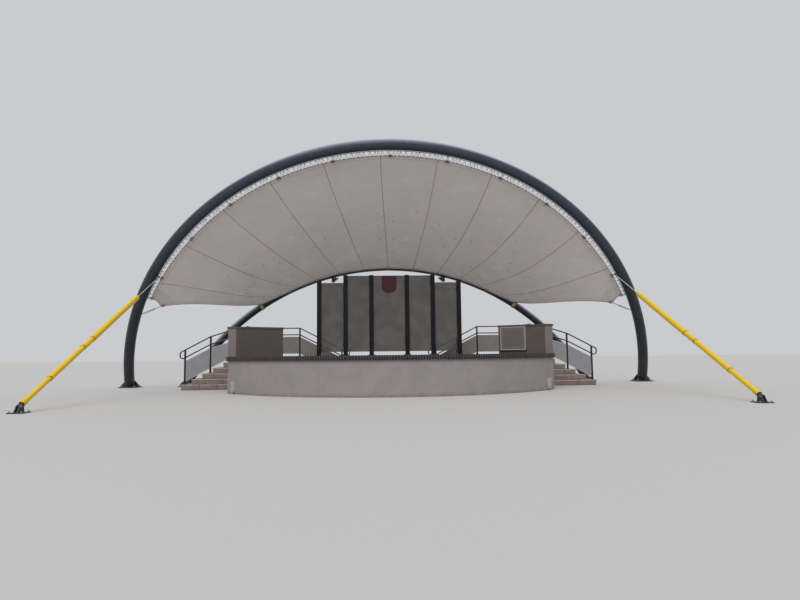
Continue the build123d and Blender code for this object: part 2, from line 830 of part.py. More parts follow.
def make_guys():
    """Cable from lug to anchor, guard pipe round its lower part, lug plate and anchor."""
    lug, eye = guy_ends()
    pull = lug - eye
    unit = pull.normalized()
    save(both_sides(rod(eye, lug, guy_cable)), "guy_cables")

    start = eye + unit * guard_start
    end = eye + pull * guard_share
    bore = guy_cable + 2 * seat_gap
    pipe = tube_between(start, end, guard_pipe, guard_pipe - 2 * guard_wall)
    cap_length = 2 * guard_wall
    pipe = pipe + tube_between(start, start + unit * cap_length, guard_pipe, bore)
    pipe = pipe + tube_between(end - unit * cap_length, end, guard_pipe, bore)
    low, high = (eye + pull * share for share in guard_sleeve_shares)
    inner = guard_pipe - guard_wall
    pipe = pipe + tube_between(low, high, guard_sleeve, inner)
    ring = eye + pull * guard_ring_share
    pipe = pipe + tube_between(ring, ring + unit * guard_ring_length, guard_sleeve, inner)
    save(both_sides(pipe), "guy_guards")

    angle = asin((guy_height + front_centre_depth) / front_radius)
    centre = front_point(angle)
    inwards = (centre - lug).normalized()
    plate_plane = Plane(origin=lug, x_dir=inwards, z_dir=unit.cross(inwards).normalized())
    reach = (centre - lug).length
    long = reach + 2 * guy_lug_margin
    plate = plate_plane * Pos(reach / 2, 0, 0) * Box(long, guy_lug_width, guy_lug_thickness)
    save(both_sides(plate - front_stub(angle) - rod(eye, lug, guy_cable)), "guy_lugs")

    half = anchor_plate_size / 2
    plate_top = anchor_plate_thickness
    base = block(anchor_x - half, anchor_x + half, anchor_y - half, anchor_y + half, 0, plate_top)
    for x in (-1, 1):
        for y in (-1, 1):
            place = Pos(anchor_x + x * anchor_bolt_spacing / 2, anchor_y + y * anchor_bolt_spacing / 2, 0)
            base = base - place * Cylinder(anchor_bolt_hole / 2, 3 * anchor_plate_thickness)
    fin_top = anchor_plate_thickness + anchor_fin_height
    profile = Polyline(
        (-anchor_fin_half_foot, anchor_plate_thickness), (anchor_fin_half_foot, anchor_plate_thickness),
        (anchor_fin_top_back, fin_top), (-anchor_fin_top_front, fin_top), close=True,
    )
    for side in (-1, 1):
        x = anchor_x + side * anchor_fin_gap / 2 - anchor_fin_thickness / 2
        plane = Plane(origin=(x, anchor_y, 0), x_dir=(0, 1, 0), z_dir=(1, 0, 0))
        base = base + extrude(plane * make_face(profile.edges()), anchor_fin_thickness)
    pin_left = (anchor_x - anchor_fin_gap, anchor_y, anchor_eye_z)
    pin_right = (anchor_x + anchor_fin_gap, anchor_y, anchor_eye_z)
    pin = rod(pin_left, pin_right, anchor_pin)
    save(both_sides(base + pin - rod(eye, lug, guy_cable)), "guy_anchors")


def front_stub(angle):
    """A short stretch of the front arch's tube, to shape what is welded to it."""
    half = stub_length / 2 / front_radius
    return arch_tube(front_point, angle - half, angle + half, front_tube)


def rear_stub(angle):
    """A short stretch of the rear arch's tube, to shape what is welded to it."""
    half = stub_length / 2 / rear_radius
    return arch_tube(rear_point, angle - half, angle + half, rear_tube)


def make_floodlights():
    """Two small floodlights under the rear arch, each on a short stem."""
    angle = asin(sqrt(1 - (floodlight_x / rear_radius) ** 2))
    tube = rear_stub(angle)
    centre = rear_point(angle)
    top = centre.Z - rear_tube / 2 / sin(angle) - floodlight_stem
    inner_x = floodlight_x - floodlight_width / 2
    outer_x = floodlight_x + floodlight_width / 2
    profile = Polyline(
        (inner_x, top), (outer_x, top), (outer_x, top - floodlight_height),
        (outer_x - floodlight_foot, top - floodlight_height), close=True,
    )
    face = Plane(origin=(0, centre.Y + floodlight_depth / 2, 0), x_dir=(1, 0, 0), z_dir=(0, -1, 0))
    body = extrude(face * make_face(profile.edges()), floodlight_depth)
    stem_half = floodlight_stem_width / 2
    stem = block(
        floodlight_x - stem_half, floodlight_x + stem_half, centre.Y - stem_half, centre.Y + stem_half,
        top, centre.Z,
    )
    save(both_sides(body + stem - tube), "floodlights")


os.makedirs("parts", exist_ok=True)
make_podium()
make_coping()
make_wing_walls()
make_service_boxes()
make_side_steps()
make_rear_steps()
make_balustrades()
make_screen()
make_arches()
make_canopy()
make_guys()
make_floodlights()
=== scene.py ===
"""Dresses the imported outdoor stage: membrane, lacing, bricks, blocks, fastenings and finishes.

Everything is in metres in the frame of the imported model: +Z up, +Y away from the seats, and the
origin on the ground at the centre of the circle of the curved front wall.
"""

import json
import logging
from collections.abc import Callable, Iterable
from dataclasses import dataclass, field
from enum import Enum
from math import asin, cos, degrees, floor, hypot, pi, radians, sin, sqrt

import bmesh
import bpy
from bmesh.types import BMesh, BMFace
from bpy.types import Material, Node, NodeSocket, NodeTree, Object
from mathutils import Matrix, Vector

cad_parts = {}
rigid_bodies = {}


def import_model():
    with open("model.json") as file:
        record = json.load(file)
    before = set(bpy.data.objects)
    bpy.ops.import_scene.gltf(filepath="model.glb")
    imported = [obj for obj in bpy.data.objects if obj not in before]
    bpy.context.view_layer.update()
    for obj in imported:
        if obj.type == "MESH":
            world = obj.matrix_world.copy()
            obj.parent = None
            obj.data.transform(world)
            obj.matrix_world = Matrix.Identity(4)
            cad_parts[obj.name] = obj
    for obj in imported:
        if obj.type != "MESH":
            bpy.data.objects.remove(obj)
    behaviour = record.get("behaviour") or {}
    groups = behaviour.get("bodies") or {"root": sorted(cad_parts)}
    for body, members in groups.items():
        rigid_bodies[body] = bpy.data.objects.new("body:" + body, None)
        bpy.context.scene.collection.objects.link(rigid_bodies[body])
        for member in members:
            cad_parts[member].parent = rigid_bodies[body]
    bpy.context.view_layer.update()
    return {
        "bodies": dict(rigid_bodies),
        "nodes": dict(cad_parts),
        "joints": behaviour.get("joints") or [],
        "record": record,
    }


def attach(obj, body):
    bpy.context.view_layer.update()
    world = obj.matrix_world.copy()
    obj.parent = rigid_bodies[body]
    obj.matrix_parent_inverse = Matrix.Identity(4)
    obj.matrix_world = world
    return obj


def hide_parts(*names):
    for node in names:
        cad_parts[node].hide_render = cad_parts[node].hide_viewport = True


log = logging.getLogger("stage")

UP = Vector((0, 0, 1))
MILLIMETRE = 0.001

FLOOR_Z = 1.1
RISER = FLOOR_Z / 6
GOING = 0.35
TREADS = 5
PODIUM_SIDE_X = 5.3
FLANK_Y = -1.33
FLANK_DEPTH = 1.7
WELL_X = 3.5


class Side(Enum):
    """The two mirror halves of the stage, as the sign of X."""

    RIGHT = 1
    LEFT = -1

    @property
    def mirror(self) -> Matrix:
        """Turns a point of the right half into one of this half."""
        return Matrix.Diagonal((self.value, 1, 1))


class Tone(Enum):
    """How a mineral surface is set out."""

    PLAIN = "plain"
    SLABS = "slabs"


# Node and mesh helpers


def linear(hex_colour: str) -> tuple[float, float, float, float]:
    """Turns an sRGB hex colour to linear values.

    Args:
        hex_colour: six hex digits after a hash sign.

    Returns:
        Red, green, blue and a full alpha.
    """
    parts = [int(hex_colour[i : i + 2], 16) / 255 for i in (1, 3, 5)]
    turned = [c / 12.92 if c <= 0.04045 else ((c + 0.055) / 1.055) ** 2.4 for c in parts]
    return (*turned, 1.0)


def add_node(tree: NodeTree, kind: str, inputs: dict | None = None, **settings: object) -> Node:
    """Adds a node with its settings, input values and links.

    Args:
        tree: the material's node tree.
        kind: Blender's name for the node, after ShaderNode.
        inputs: a value or an output socket for each input's name or number.
        settings: the node's own properties.

    Returns:
        The new node.
    """
    node = tree.nodes.new("ShaderNode" + kind)
    for name, value in settings.items():
        setattr(node, name, value)
    for key, value in (inputs or {}).items():
        if isinstance(value, NodeSocket):
            tree.links.new(value, node.inputs[key])
        else:
            node.inputs[key].default_value = value
    return node


class Recipe:
    """A new material, with its shader, its object coordinates and the patterns that finishes share."""

    def __init__(self, name: str, colour: str, roughness: float, **shader_values: float) -> None:
        """Starts the material from one colour and the shader's own values.

        Args:
            name: the material's name.
            colour: the main colour as sRGB hex.
            roughness: the roughness where nothing changes it.
            shader_values: the shader's other inputs, with spaces written as underscores.
        """
        self.material = bpy.data.materials.new(name)
        self.material.use_nodes = True
        self.tree = self.material.node_tree
        self.shader = self.tree.nodes["Principled BSDF"]
        values = {"Base_Color": linear(colour), "Roughness": roughness, **shader_values}
        for key, value in values.items():
            self.shader.inputs[key.replace("_", " ")].default_value = value
        self.place = add_node(self.tree, "TexCoord").outputs["Object"]
        self.normal = add_node(self.tree, "NewGeometry").outputs["Normal"]
        self.colour = add_node(self.tree, "RGB").outputs[0]
        self.colour.default_value = linear(colour)
        self.height: NodeSocket | None = None

    def noise(
        self, millimetres: float, low: float = 0.35, high: float = 0.65, stretch: float = 1.0,
    ) -> NodeSocket:
        """A soft pattern from 0 to 1 with blots of about one size.

        Args:
            millimetres: the size of a blot.
            low: the noise that turns to 0.
            high: the noise that turns to 1.
            stretch: how many times longer than wide the blots are, up and down.

        Returns:
            The pattern's output socket.
        """
        scaled = add_node(self.tree, "Mapping", {"Vector": self.place, "Scale": (1, 1, 1 / stretch)})
        spread = {"Vector": scaled.outputs[0], "Scale": 1 / (millimetres * MILLIMETRE), "Detail": 3.0}
        return self.between(add_node(self.tree, "TexNoise", spread).outputs[0], low, high)

    def between(self, value: NodeSocket, low: float, high: float) -> NodeSocket:
        """Maps a value smoothly to the span from 0 at low to 1 at high."""
        spread = {"Value": value, "From Min": low, "From Max": high}
        return add_node(self.tree, "MapRange", spread, interpolation_type="SMOOTHSTEP").outputs[0]

    def combine(self, operation: str, a: NodeSocket | float, b: NodeSocket | float) -> NodeSocket:
        """Joins two values by a sum, product or other operation."""
        return add_node(self.tree, "Math", {0: a, 1: b}, operation=operation).outputs[0]

    def part(self, vector: NodeSocket, axis: str) -> NodeSocket:
        """One part of a vector, named X, Y or Z."""
        return add_node(self.tree, "SeparateXYZ", {0: vector}).outputs[axis]

    def stain(self, mask: NodeSocket, colour: str, strength: float) -> None:
        """Lays a second colour over the first where the mask is high.

        Args:
            mask: 0 where the first colour stays and 1 where the second one comes.
            colour: the second colour as sRGB hex.
            strength: how much of it shows at most.
        """
        mix = {0: self.combine("MULTIPLY", mask, strength), 6: self.colour, 7: linear(colour)}
        self.colour = add_node(self.tree, "Mix", mix, data_type="RGBA").outputs[2]

    def raise_by(self, mask: NodeSocket, millimetres: float) -> None:
        """Adds relief: the mask times a height."""
        lift = self.combine("MULTIPLY", mask, millimetres * MILLIMETRE)
        self.height = lift if self.height is None else self.combine("ADD", self.height, lift)

    def marks(self, where: NodeSocket, cell_mm: float, mark_mm: float, share: float) -> NodeSocket:
        """Small round marks strewn at random over a flat map.

        Args:
            where: the map's coordinates in metres.
            cell_mm: how far apart the places lie where a mark may be.
            mark_mm: the radius of a mark.
            share: the share of the places that have one.

        Returns:
            A socket that is 1 on a mark.
        """
        spread = {"Vector": where, "Scale": 1 / (cell_mm * MILLIMETRE)}
        cells = add_node(self.tree, "TexVoronoi", spread, voronoi_dimensions="2D")
        near = self.between(cells.outputs["Distance"], mark_mm / cell_mm, 0.6 * mark_mm / cell_mm)
        chosen = self.combine("LESS_THAN", self.part(cells.outputs["Color"], "X"), share)
        return self.combine("MULTIPLY", near, chosen)

    def splash(self, height: float, millimetres: float, low: float, high: float) -> NodeSocket:
        """1 near the ground, where soil splashes up, fading out in blots at the height given."""
        near = self.between(self.part(self.place, "Z"), height, 0.0)
        return self.combine("MULTIPLY", near, self.noise(millimetres, low, high))

    def roughen(self, mask: NodeSocket, smooth: float, rough: float) -> None:
        """Sets the roughness from one value at mask 0 to another at mask 1."""
        spot = add_node(self.tree, "MapRange", {"Value": mask, "To Min": smooth, "To Max": rough})
        self.tree.links.new(spot.outputs[0], self.shader.inputs["Roughness"])

    def done(self) -> Material:
        """Links the colour and the relief, and returns the material."""
        self.tree.links.new(self.colour, self.shader.inputs["Base Color"])
        if self.height is not None:
            bump = add_node(self.tree, "Bump", {"Height": self.height, "Distance": 1.0, "Strength": 1.0})
            self.tree.links.new(bump.outputs[0], self.shader.inputs["Normal"])
        return self.material


# Finishes


@dataclass(frozen=True)
class MineralFinish:
    """Render, concrete or mortar: matt and gritty, with damp marks and pale dried ones.

    The grit comes from sand of about a millimetre. It is drawn at the grain size given, because
    finer grit would not show from the seats.
    """

    name: str
    colour: str
    damp: str
    pale: str
    grain_mm: float = 6.0
    blot_mm: float = 320.0
    damp_share: float = 0.35
    pale_share: float = 0.35
    pit_share: float = 0.0
    foot_m: float = 0.0
    drip_share: float = 0.0
    tone: Tone = Tone.PLAIN
    slab_m: float = 0.4

    def make(self) -> Material:
        """Builds the material."""
        mix = Recipe(self.name, self.colour, 0.88, Specular_IOR_Level=0.35)
        mix.stain(mix.noise(self.blot_mm), self.damp, self.damp_share)
        mix.stain(mix.noise(self.blot_mm * 0.22, 0.5, 0.75), self.pale, self.pale_share)
        grit = mix.noise(self.grain_mm, 0.3, 0.7)
        mix.stain(grit, self.damp, 0.16)
        mix.raise_by(grit, 0.6)
        if self.pit_share:
            pits = mix.noise(34, 0.66, 0.71)
            mix.stain(pits, self.damp, self.pit_share)
            mix.raise_by(pits, -1.5)
        if self.drip_share:
            mix.stain(mix.noise(70, 0.5, 0.72, 14), self.damp, self.drip_share)
        if self.foot_m:
            mix.stain(mix.splash(self.foot_m, 150, 0.25, 0.6), self.damp, 0.8)
        if self.tone is Tone.SLABS:
            self.set_out(mix)
        return mix.done()

    def set_out(self, mix: Recipe) -> None:
        """Draws the open joints between slabs, sunk by 3 mm, and a shade for each slab."""
        spread = {
            "Vector": mix.place, "Scale": 1.0, "Brick Width": self.slab_m, "Row Height": self.slab_m,
            "Mortar Size": 0.004, "Mortar Smooth": 0.2, "Color1": (1, 1, 1, 1),
            "Color2": (0.55, 0.55, 0.55, 1), "Mortar": (0, 0, 0, 1),
        }
        slabs = add_node(mix.tree, "TexBrick", spread, offset=0.0)
        mix.stain(mix.combine("SUBTRACT", 1.0, slabs.outputs["Color"]), self.damp, 0.35)
        mix.stain(slabs.outputs["Fac"], self.damp, 0.9)
        mix.raise_by(slabs.outputs["Fac"], -3.0)


@dataclass(frozen=True)
class ClinkerFinish:
    """Hard-burnt clinker: nearly black bricks with a dull sheen, each of its own shade."""

    name: str = "fired_clinker"
    colour: str = "#100e14"
    brown: str = "#20181b"
    bloom: str = "#413d43"

    def make(self) -> Material:
        """Builds the material. The shade of each brick is in the mesh as brick_shade."""
        mix = Recipe(self.name, self.colour, 0.5, Specular_IOR_Level=0.45)
        shade = add_node(mix.tree, "Attribute", attribute_name="brick_shade").outputs["Fac"]
        mix.stain(shade, self.brown, 0.75)
        mix.stain(mix.noise(28, 0.5, 0.7), self.bloom, 0.2)
        speck = mix.noise(5, 0.4, 0.7)
        mix.raise_by(speck, 0.7)
        mix.roughen(speck, 0.42, 0.7)
        return mix.done()


@dataclass(frozen=True)
class PaintFinish:
    """Sprayed and brushed paint on steel: satin to gloss, with rain marks and a lighter colour on upward
    faces, which is dust on some finishes and a painted highlight on the arches, rails and guard pipes.

    Where a sky reflection colour is given, a painted reflection of the sky lightens and blues the paint more
    and more towards the crown.
    """

    name: str
    colour: str
    dust: str
    roughness: float = 0.38
    top_dust_and_highlight_share: float = 0.25
    drip_share: float = 0.2
    foot_m: float = 0.0
    coat: float = 0.15
    specular: float = 0.4
    top_dust_and_highlight_span: tuple[float, float] = (0.2, 0.95)
    painted_sky_reflection: str = ""
    painted_sky_reflection_m: tuple[float, float] = (1.5, 6.5)
    soil: str = "#5e5344"

    def make(self) -> Material:
        """Builds the material, with the slight orange peel that a spray gun leaves."""
        mix = Recipe(
            self.name, self.colour, self.roughness, Coat_Weight=self.coat, Coat_Roughness=0.25,
            Specular_IOR_Level=self.specular,
        )
        # Painted reflection: the paint is lightened and blued towards the crown, where it would mirror the
        # sky.
        if self.painted_sky_reflection:
            mix.stain(mix.between(mix.part(mix.place, "Z"), *self.painted_sky_reflection_m), self.painted_sky_reflection, 0.85)
        # Lighter colour on upward faces: dust on most finishes, and a painted highlight where the top colour
        # is pale (arches, rails, guard pipes, anthracite steel).
        upward = mix.between(mix.part(mix.normal, "Z"), *self.top_dust_and_highlight_span)
        mix.stain(mix.combine("MULTIPLY", upward, mix.noise(90, 0.1, 0.45)), self.dust, self.top_dust_and_highlight_share)
        mix.stain(mix.noise(45, 0.52, 0.75, 10), self.dust, self.drip_share)
        if self.foot_m:
            mix.stain(mix.splash(self.foot_m, 40, 0.3, 0.6), self.soil, 0.7)
        mix.raise_by(mix.noise(14, 0.2, 0.8), 0.12)
        mix.roughen(mix.noise(160, 0.3, 0.7), self.roughness - 0.06, self.roughness + 0.12)
        return mix.done()


@dataclass(frozen=True)
class ZincFinish:
    """Hot-dip galvanised steel: grey zinc crystals of about 12 mm, dulled by weather."""

    name: str = "galvanised_steel"
    colour: str = "#a9aca9"
    dull: str = "#77797a"
    roughness: float = 0.5
    metallic: float = 0.75
    soil: str = "#6b6153"

    def make(self) -> Material:
        """Builds the material."""
        mix = Recipe(self.name, self.colour, self.roughness, Metallic=self.metallic)
        spread = {"Vector": mix.place, "Scale": 1 / (12 * MILLIMETRE)}
        crystals = add_node(mix.tree, "TexVoronoi", spread).outputs["Color"]
        mix.stain(mix.part(crystals, "X"), self.dull, 0.5)
        mix.stain(mix.noise(60, 0.5, 0.75), self.soil, 0.25)
        mix.roughen(mix.part(crystals, "Y"), 0.38, 0.62)
        return mix.done()


@dataclass(frozen=True)
class MembraneFinish:
    """Coated polyester cloth: matt, with welded seams, a doubled hem, weather stains and a painted shade that
    darkens it towards the rear edge.

    Its threads lie half a millimetre apart. They are drawn 9 mm apart, so that the weave shows.
    """

    name: str = "coated_polyester"
    colour: str = "#beb0a9"
    seam: str = "#6b5850"
    hem: str = "#a3978f"
    # Colour of the weather stains, and of the painted shade towards the rear edge.
    stain: str = "#9c908a"
    light: str = "#d8d1cc"
    leaf: str = "#4c4238"
    thread_mm: float = 9.0
    hem_m: float = 0.12
    seam_m: float = 0.015
    patch_m: float = 0.9
    glow: float = 0.4

    def read(self, mix: Recipe, name: str) -> NodeSocket:
        """A distance in metres that the mesh keeps at each point."""
        return add_node(mix.tree, "Attribute", attribute_name=name).outputs["Fac"]

    def make(self) -> Material:
        """Builds the material from the cloth's own map and its distances to seam, hem and corner."""
        mix = Recipe(
            self.name, self.colour, 0.72, Specular_IOR_Level=0.3, Sheen_Weight=0.15,
            Subsurface_Weight=self.glow, Subsurface_Scale=0.05, Subsurface_Radius=(1.0, 0.97, 0.94),
        )
        cloth = add_node(mix.tree, "UVMap", uv_map="cloth").outputs[0]
        inward = mix.part(cloth, "Y")
        # Painted shade: the cloth grows darker from the front edge towards the rear edge.
        mix.stain(mix.between(inward, 0.2, 3.6), self.stain, 0.62)
        mix.stain(mix.noise(1400, 0.3, 0.75), self.stain, 0.25)
        mix.stain(mix.noise(420, 0.5, 0.75), self.light, 0.2)
        leaves = mix.combine("MULTIPLY", mix.marks(cloth, 300, 34, 0.14), mix.between(inward, 0.4, 2.2))
        mix.stain(leaves, self.leaf, 0.85)
        mix.stain(mix.marks(cloth, 150, 9, 0.25), self.leaf, 0.5)
        seam = mix.between(self.read(mix, "seam_distance"), self.seam_m * 1.25, self.seam_m * 0.8)
        edge = self.read(mix, "hem_distance")
        hem = mix.between(edge, self.hem_m * 1.02, self.hem_m * 0.98)
        off_weld = mix.combine("ABSOLUTE", mix.combine("SUBTRACT", edge, self.hem_m), 0.0)
        patch = mix.between(self.read(mix, "corner_distance"), self.patch_m * 1.02, self.patch_m * 0.99)
        mix.stain(patch, self.hem, 0.55)
        mix.stain(hem, self.hem, 0.3)
        mix.stain(mix.between(off_weld, 0.014, 0.006), self.seam, 0.35)
        mix.stain(seam, self.seam, 0.8)
        for turn in ("X", "Y"):
            spread = {"Vector": cloth, "Scale": 0.314 / (self.thread_mm * MILLIMETRE)}
            waves = add_node(mix.tree, "TexWave", spread, bands_direction=turn)
            mix.raise_by(waves.outputs["Fac"], 0.25)
        mix.raise_by(mix.combine("MAXIMUM", mix.combine("MAXIMUM", seam, hem), patch), 1.2)
        return mix.done()


@dataclass(frozen=True)
class GlassFinish:
    """Smoked safety glass: dark, half clear and shiny, with a film of dust and dried drops."""

    name: str = "smoked_glass"
    colour: str = "#4b443d"
    dust: str = "#837a6e"
    clearness: float = 0.22

    def make(self) -> Material:
        """Builds the material."""
        mix = Recipe(self.name, self.colour, 0.12, IOR=1.5, Alpha=1.0 - self.clearness)
        mix.stain(mix.noise(380, 0.35, 0.7), self.dust, 0.3)
        mix.stain(mix.noise(24, 0.6, 0.75), self.dust, 0.25)
        mix.roughen(mix.noise(200, 0.3, 0.7), 0.08, 0.22)
        return mix.done()


@dataclass(frozen=True)
class OpalFinish:
    """Opal acrylic sheet: grey, slightly shiny and cloudy, with rain marks."""

    name: str
    colour: str
    dust: str
    drip: str = "#9c9b9e"

    def make(self) -> Material:
        """Builds the material."""
        mix = Recipe(self.name, self.colour, 0.3, IOR=1.49, Coat_Weight=0.2)
        mix.stain(mix.noise(240, 0.35, 0.7), self.dust, 0.35)
        mix.stain(mix.noise(30, 0.55, 0.75, 8), self.drip, 0.3)
        mix.roughen(mix.noise(120, 0.3, 0.7), 0.24, 0.42)
        return mix.done()


@dataclass(frozen=True)
class RopeFinish:
    """Laid rope: matt and pale, with strands that show as fine waves across it."""

    name: str
    colour: str
    groove: str

    def make(self) -> Material:
        """Builds the material."""
        mix = Recipe(self.name, self.colour, 0.75, Sheen_Weight=0.2)
        spread = {"Vector": mix.place, "Scale": 30.0, "Distortion": 1.5}
        waves = add_node(mix.tree, "TexWave", spread, bands_direction="DIAGONAL").outputs["Fac"]
        mix.stain(mix.between(waves, 0.35, 0.0), self.groove, 0.6)
        mix.raise_by(waves, 0.8)
        return mix.done()


class Palette:
    """All finishes of the stage, each built once."""

    def __init__(self) -> None:
        """Builds the materials."""
        self.wall = MineralFinish(
            "painted_mineral_render", "#988f8d", "#78706f", "#a79c9a", foot_m=0.12, drip_share=0.06,
            damp_share=0.22, pale_share=0.25, blot_mm=420, pit_share=0.6,
        ).make()
        self.wing_end = MineralFinish(
            "skimmed_render_ends", "#7c7270", "#675e5c", "#8a807d", drip_share=0.1, damp_share=0.2,
        ).make()
        self.wing = MineralFinish(
            "dark_mineral_render", "#5d534f", "#4a423e", "#6d635e", drip_share=0.12, damp_share=0.25,
            pale_share=0.2, blot_mm=380,
        ).make()
        self.fill = MineralFinish("compacted_gravel", "#75695a", "#574c40", "#8d8272", 16).make()
        self.paving = MineralFinish(
            "concrete_paving_slabs", "#97928c", "#6f6a64", "#aaa59e", tone=Tone.SLABS, damp_share=0.25,
        ).make()
        self.riser = MineralFinish("pressed_concrete_block", "#82746e", "#655851", "#9a8d85", 5, 190).make()
        self.tread = MineralFinish(
            "cast_concrete_slab", "#a99c92", "#82756c", "#bdb1a7", 4, 210, damp_share=0.25,
        ).make()
        self.mortar = MineralFinish("lime_cement_mortar", "#6f6764", "#504a47", "#857d79", 4).make()
        self.clinker = ClinkerFinish().make()
        # The steel's bluish top colour is dust with a painted sky highlight.
        self.steel = PaintFinish(
            "anthracite_satin_paint", "#1c2029", "#75809a", foot_m=0.12, roughness=0.36, coat=0.1,
            top_dust_and_highlight_share=0.5, drip_share=0.06, specular=0.35,
        ).make()
        # The arch's pale bluish top colour is a painted highlight, and its crown tint a painted sky
        # reflection.
        self.arch = PaintFinish(
            "anthracite_paint_painted_sky_reflection", "#1c1f26", "#b9c3d4", foot_m=0.12, roughness=0.34, coat=0.15,
            top_dust_and_highlight_share=0.75, drip_share=0.05, specular=0.35, top_dust_and_highlight_span=(0.15, 0.8), painted_sky_reflection="#343a49",
        ).make()
        self.post = PaintFinish(
            "black_grey_satin_paint", "#101114", "#3a3d43", drip_share=0.08, coat=0.0, specular=0.2,
        ).make()
        # The rail's pale top colour is a painted highlight along the top of the tubes.
        self.rail = PaintFinish(
            "dark_bronze_paint", "#161515", "#a8a5a2", roughness=0.3, top_dust_and_highlight_share=0.9, drip_share=0.04,
            coat=0.1, specular=0.3, top_dust_and_highlight_span=(0.35, 0.9),
        ).make()
        self.cap = PaintFinish("folded_sheet_paint", "#4d4643", "#7d7672", 0.5, 0.6, coat=0.0).make()
        self.ledge = PaintFinish("black_ledge_paint", "#1d1b1b", "#8d8b85", 0.45, 0.2, coat=0.0).make()
        self.box = PaintFinish("light_grey_powder_coat", "#aaa8a4", "#6f6b66", foot_m=0.14).make()
        self.board = PaintFinish("bare_display_panel", "#625c5a", "#5a5452", 0.45, coat=0.0).make()
        self.sheet = PaintFinish("light_display_sheet", "#6b6563", "#605a58", 0.5, coat=0.0).make()
        self.frame = PaintFinish("anodised_aluminium", "#b4b2b0", "#8a8784", 0.35).make()
        # The guard's bright yellow top colour is a painted highlight along the top of the pipes.
        self.guard = PaintFinish(
            "yellow_gloss_paint", "#e6bd06", "#f4da3a", roughness=0.3, foot_m=0.3, top_dust_and_highlight_share=0.35,
            drip_share=0.08, coat=0.05, specular=0.3,
        ).make()
        self.enamel = PaintFinish(
            "dark_red_enamel", "#3f0f1b", "#5c3540", roughness=0.35, coat=0.1, specular=0.3,
        ).make()
        self.zinc = ZincFinish().make()
        self.wire = ZincFinish("bright_drawn_wire", "#dcdedf", "#b5b8b9", 0.42, 0.25).make()
        self.clamp = ZincFinish("dull_cast_zinc", "#8d8b88", "#5f5d5b", 0.6, 0.3).make()
        self.membrane = MembraneFinish().make()
        self.glass = GlassFinish().make()
        self.opal = OpalFinish("opal_acrylic", "#8a888c", "#787577").make()
        # Lighter copy of the opal sheet: painted light standing in for light shining through the rear panels.
        self.backlit_opal = OpalFinish("opal_acrylic_painted_backlight", "#94908c", "#86827e").make()
        self.rope = RopeFinish("polyester_rope", "#c6c2bc", "#8b8781").make()
        self.lashing = RopeFinish("natural_fibre_rope", "#b9a070", "#7a6744").make()


# Shapes


def box_at(bm: BMesh, low: Vector, high: Vector, bevel: float, frame: Matrix | None = None) -> list:
    """Adds a box between two corners, with its edges rounded off.

    Args:
        bm: the mesh that is being made.
        low: the lowest corner.
        high: the highest corner.
        bevel: the radius of the edges.
        frame: where the corners are measured, if not in the model's own frame.

    Returns:
        The box's vertices.
    """
    low, high = Vector(low), Vector(high)
    size = Matrix.Diagonal((*(high - low), 1))
    matrix = (frame or Matrix()) @ Matrix.Translation((low + high) / 2) @ size
    verts = bmesh.ops.create_cube(bm, size=1.0, matrix=matrix)["verts"]
    edges = list({e for v in verts for e in v.link_edges})
    return bmesh.ops.bevel(
        bm, geom=edges, offset=bevel, segments=1, profile=0.5, affect="EDGES", material=-1,
    )["verts"]


def along(start: Vector, end: Vector) -> Matrix:
    """A frame at the middle of a line, with Z along it."""
    axis = Vector(end) - Vector(start)
    turned = axis.to_track_quat("Z", "Y").to_matrix().to_4x4()
    return Matrix.Translation((Vector(start) + Vector(end)) / 2) @ turned


def rod(
    bm: BMesh, start: Vector, end: Vector, radius: float, sides: int = 10, tip: float | None = None,
) -> None:
    """Adds a round bar from one point to another, tapered if a tip radius is given."""
    bmesh.ops.create_cone(
        bm, cap_ends=True, segments=sides, radius1=radius, radius2=radius if tip is None else tip,
        depth=(Vector(end) - Vector(start)).length, matrix=along(start, end),
    )


def ring(
    bm: BMesh, centre: Vector, axis: Vector, radius: float, wire: float,
    steps: int = 24, sides: int = 6, angle: float = 2 * pi, start: Vector | None = None,
) -> None:
    """Adds a ring, or a part of one, by turning a small circle about an axis.

    Args:
        bm: the mesh that is being made.
        centre: the ring's centre.
        axis: the direction that it turns about.
        radius: from the centre to the middle of the wire.
        wire: the wire's own radius.
        steps: how many times the circle is set down.
        sides: the circle's sides.
        angle: how far it turns.
        start: the direction from the centre to the first circle.
    """
    axis = Vector(axis).normalized()
    out = Vector(start).normalized() if start is not None else axis.orthogonal().normalized()
    turn = Matrix((out, axis, out.cross(axis))).transposed().to_4x4()
    spot = Matrix.Translation(Vector(centre) + out * radius) @ turn
    full = angle >= 2 * pi
    verts = bmesh.ops.create_circle(bm, segments=sides, radius=wire, cap_ends=not full, matrix=spot)["verts"]
    edges = list({e for v in verts for e in v.link_edges})
    faces = list({f for v in verts for f in v.link_faces})
    made = bmesh.ops.spin(
        bm, geom=[*edges, *faces], cent=Vector(centre), axis=axis, angle=angle, steps=steps, use_merge=full,
    )
    touched = {f for v in verts for f in v.link_faces}
    touched |= {f for f in made["geom_last"] if isinstance(f, BMFace)}
    grown = set(touched)
    while touched:
        touched = {g for f in touched for e in f.edges for g in e.link_faces} - grown
        grown |= touched
    bmesh.ops.recalc_face_normals(bm, faces=list(grown))


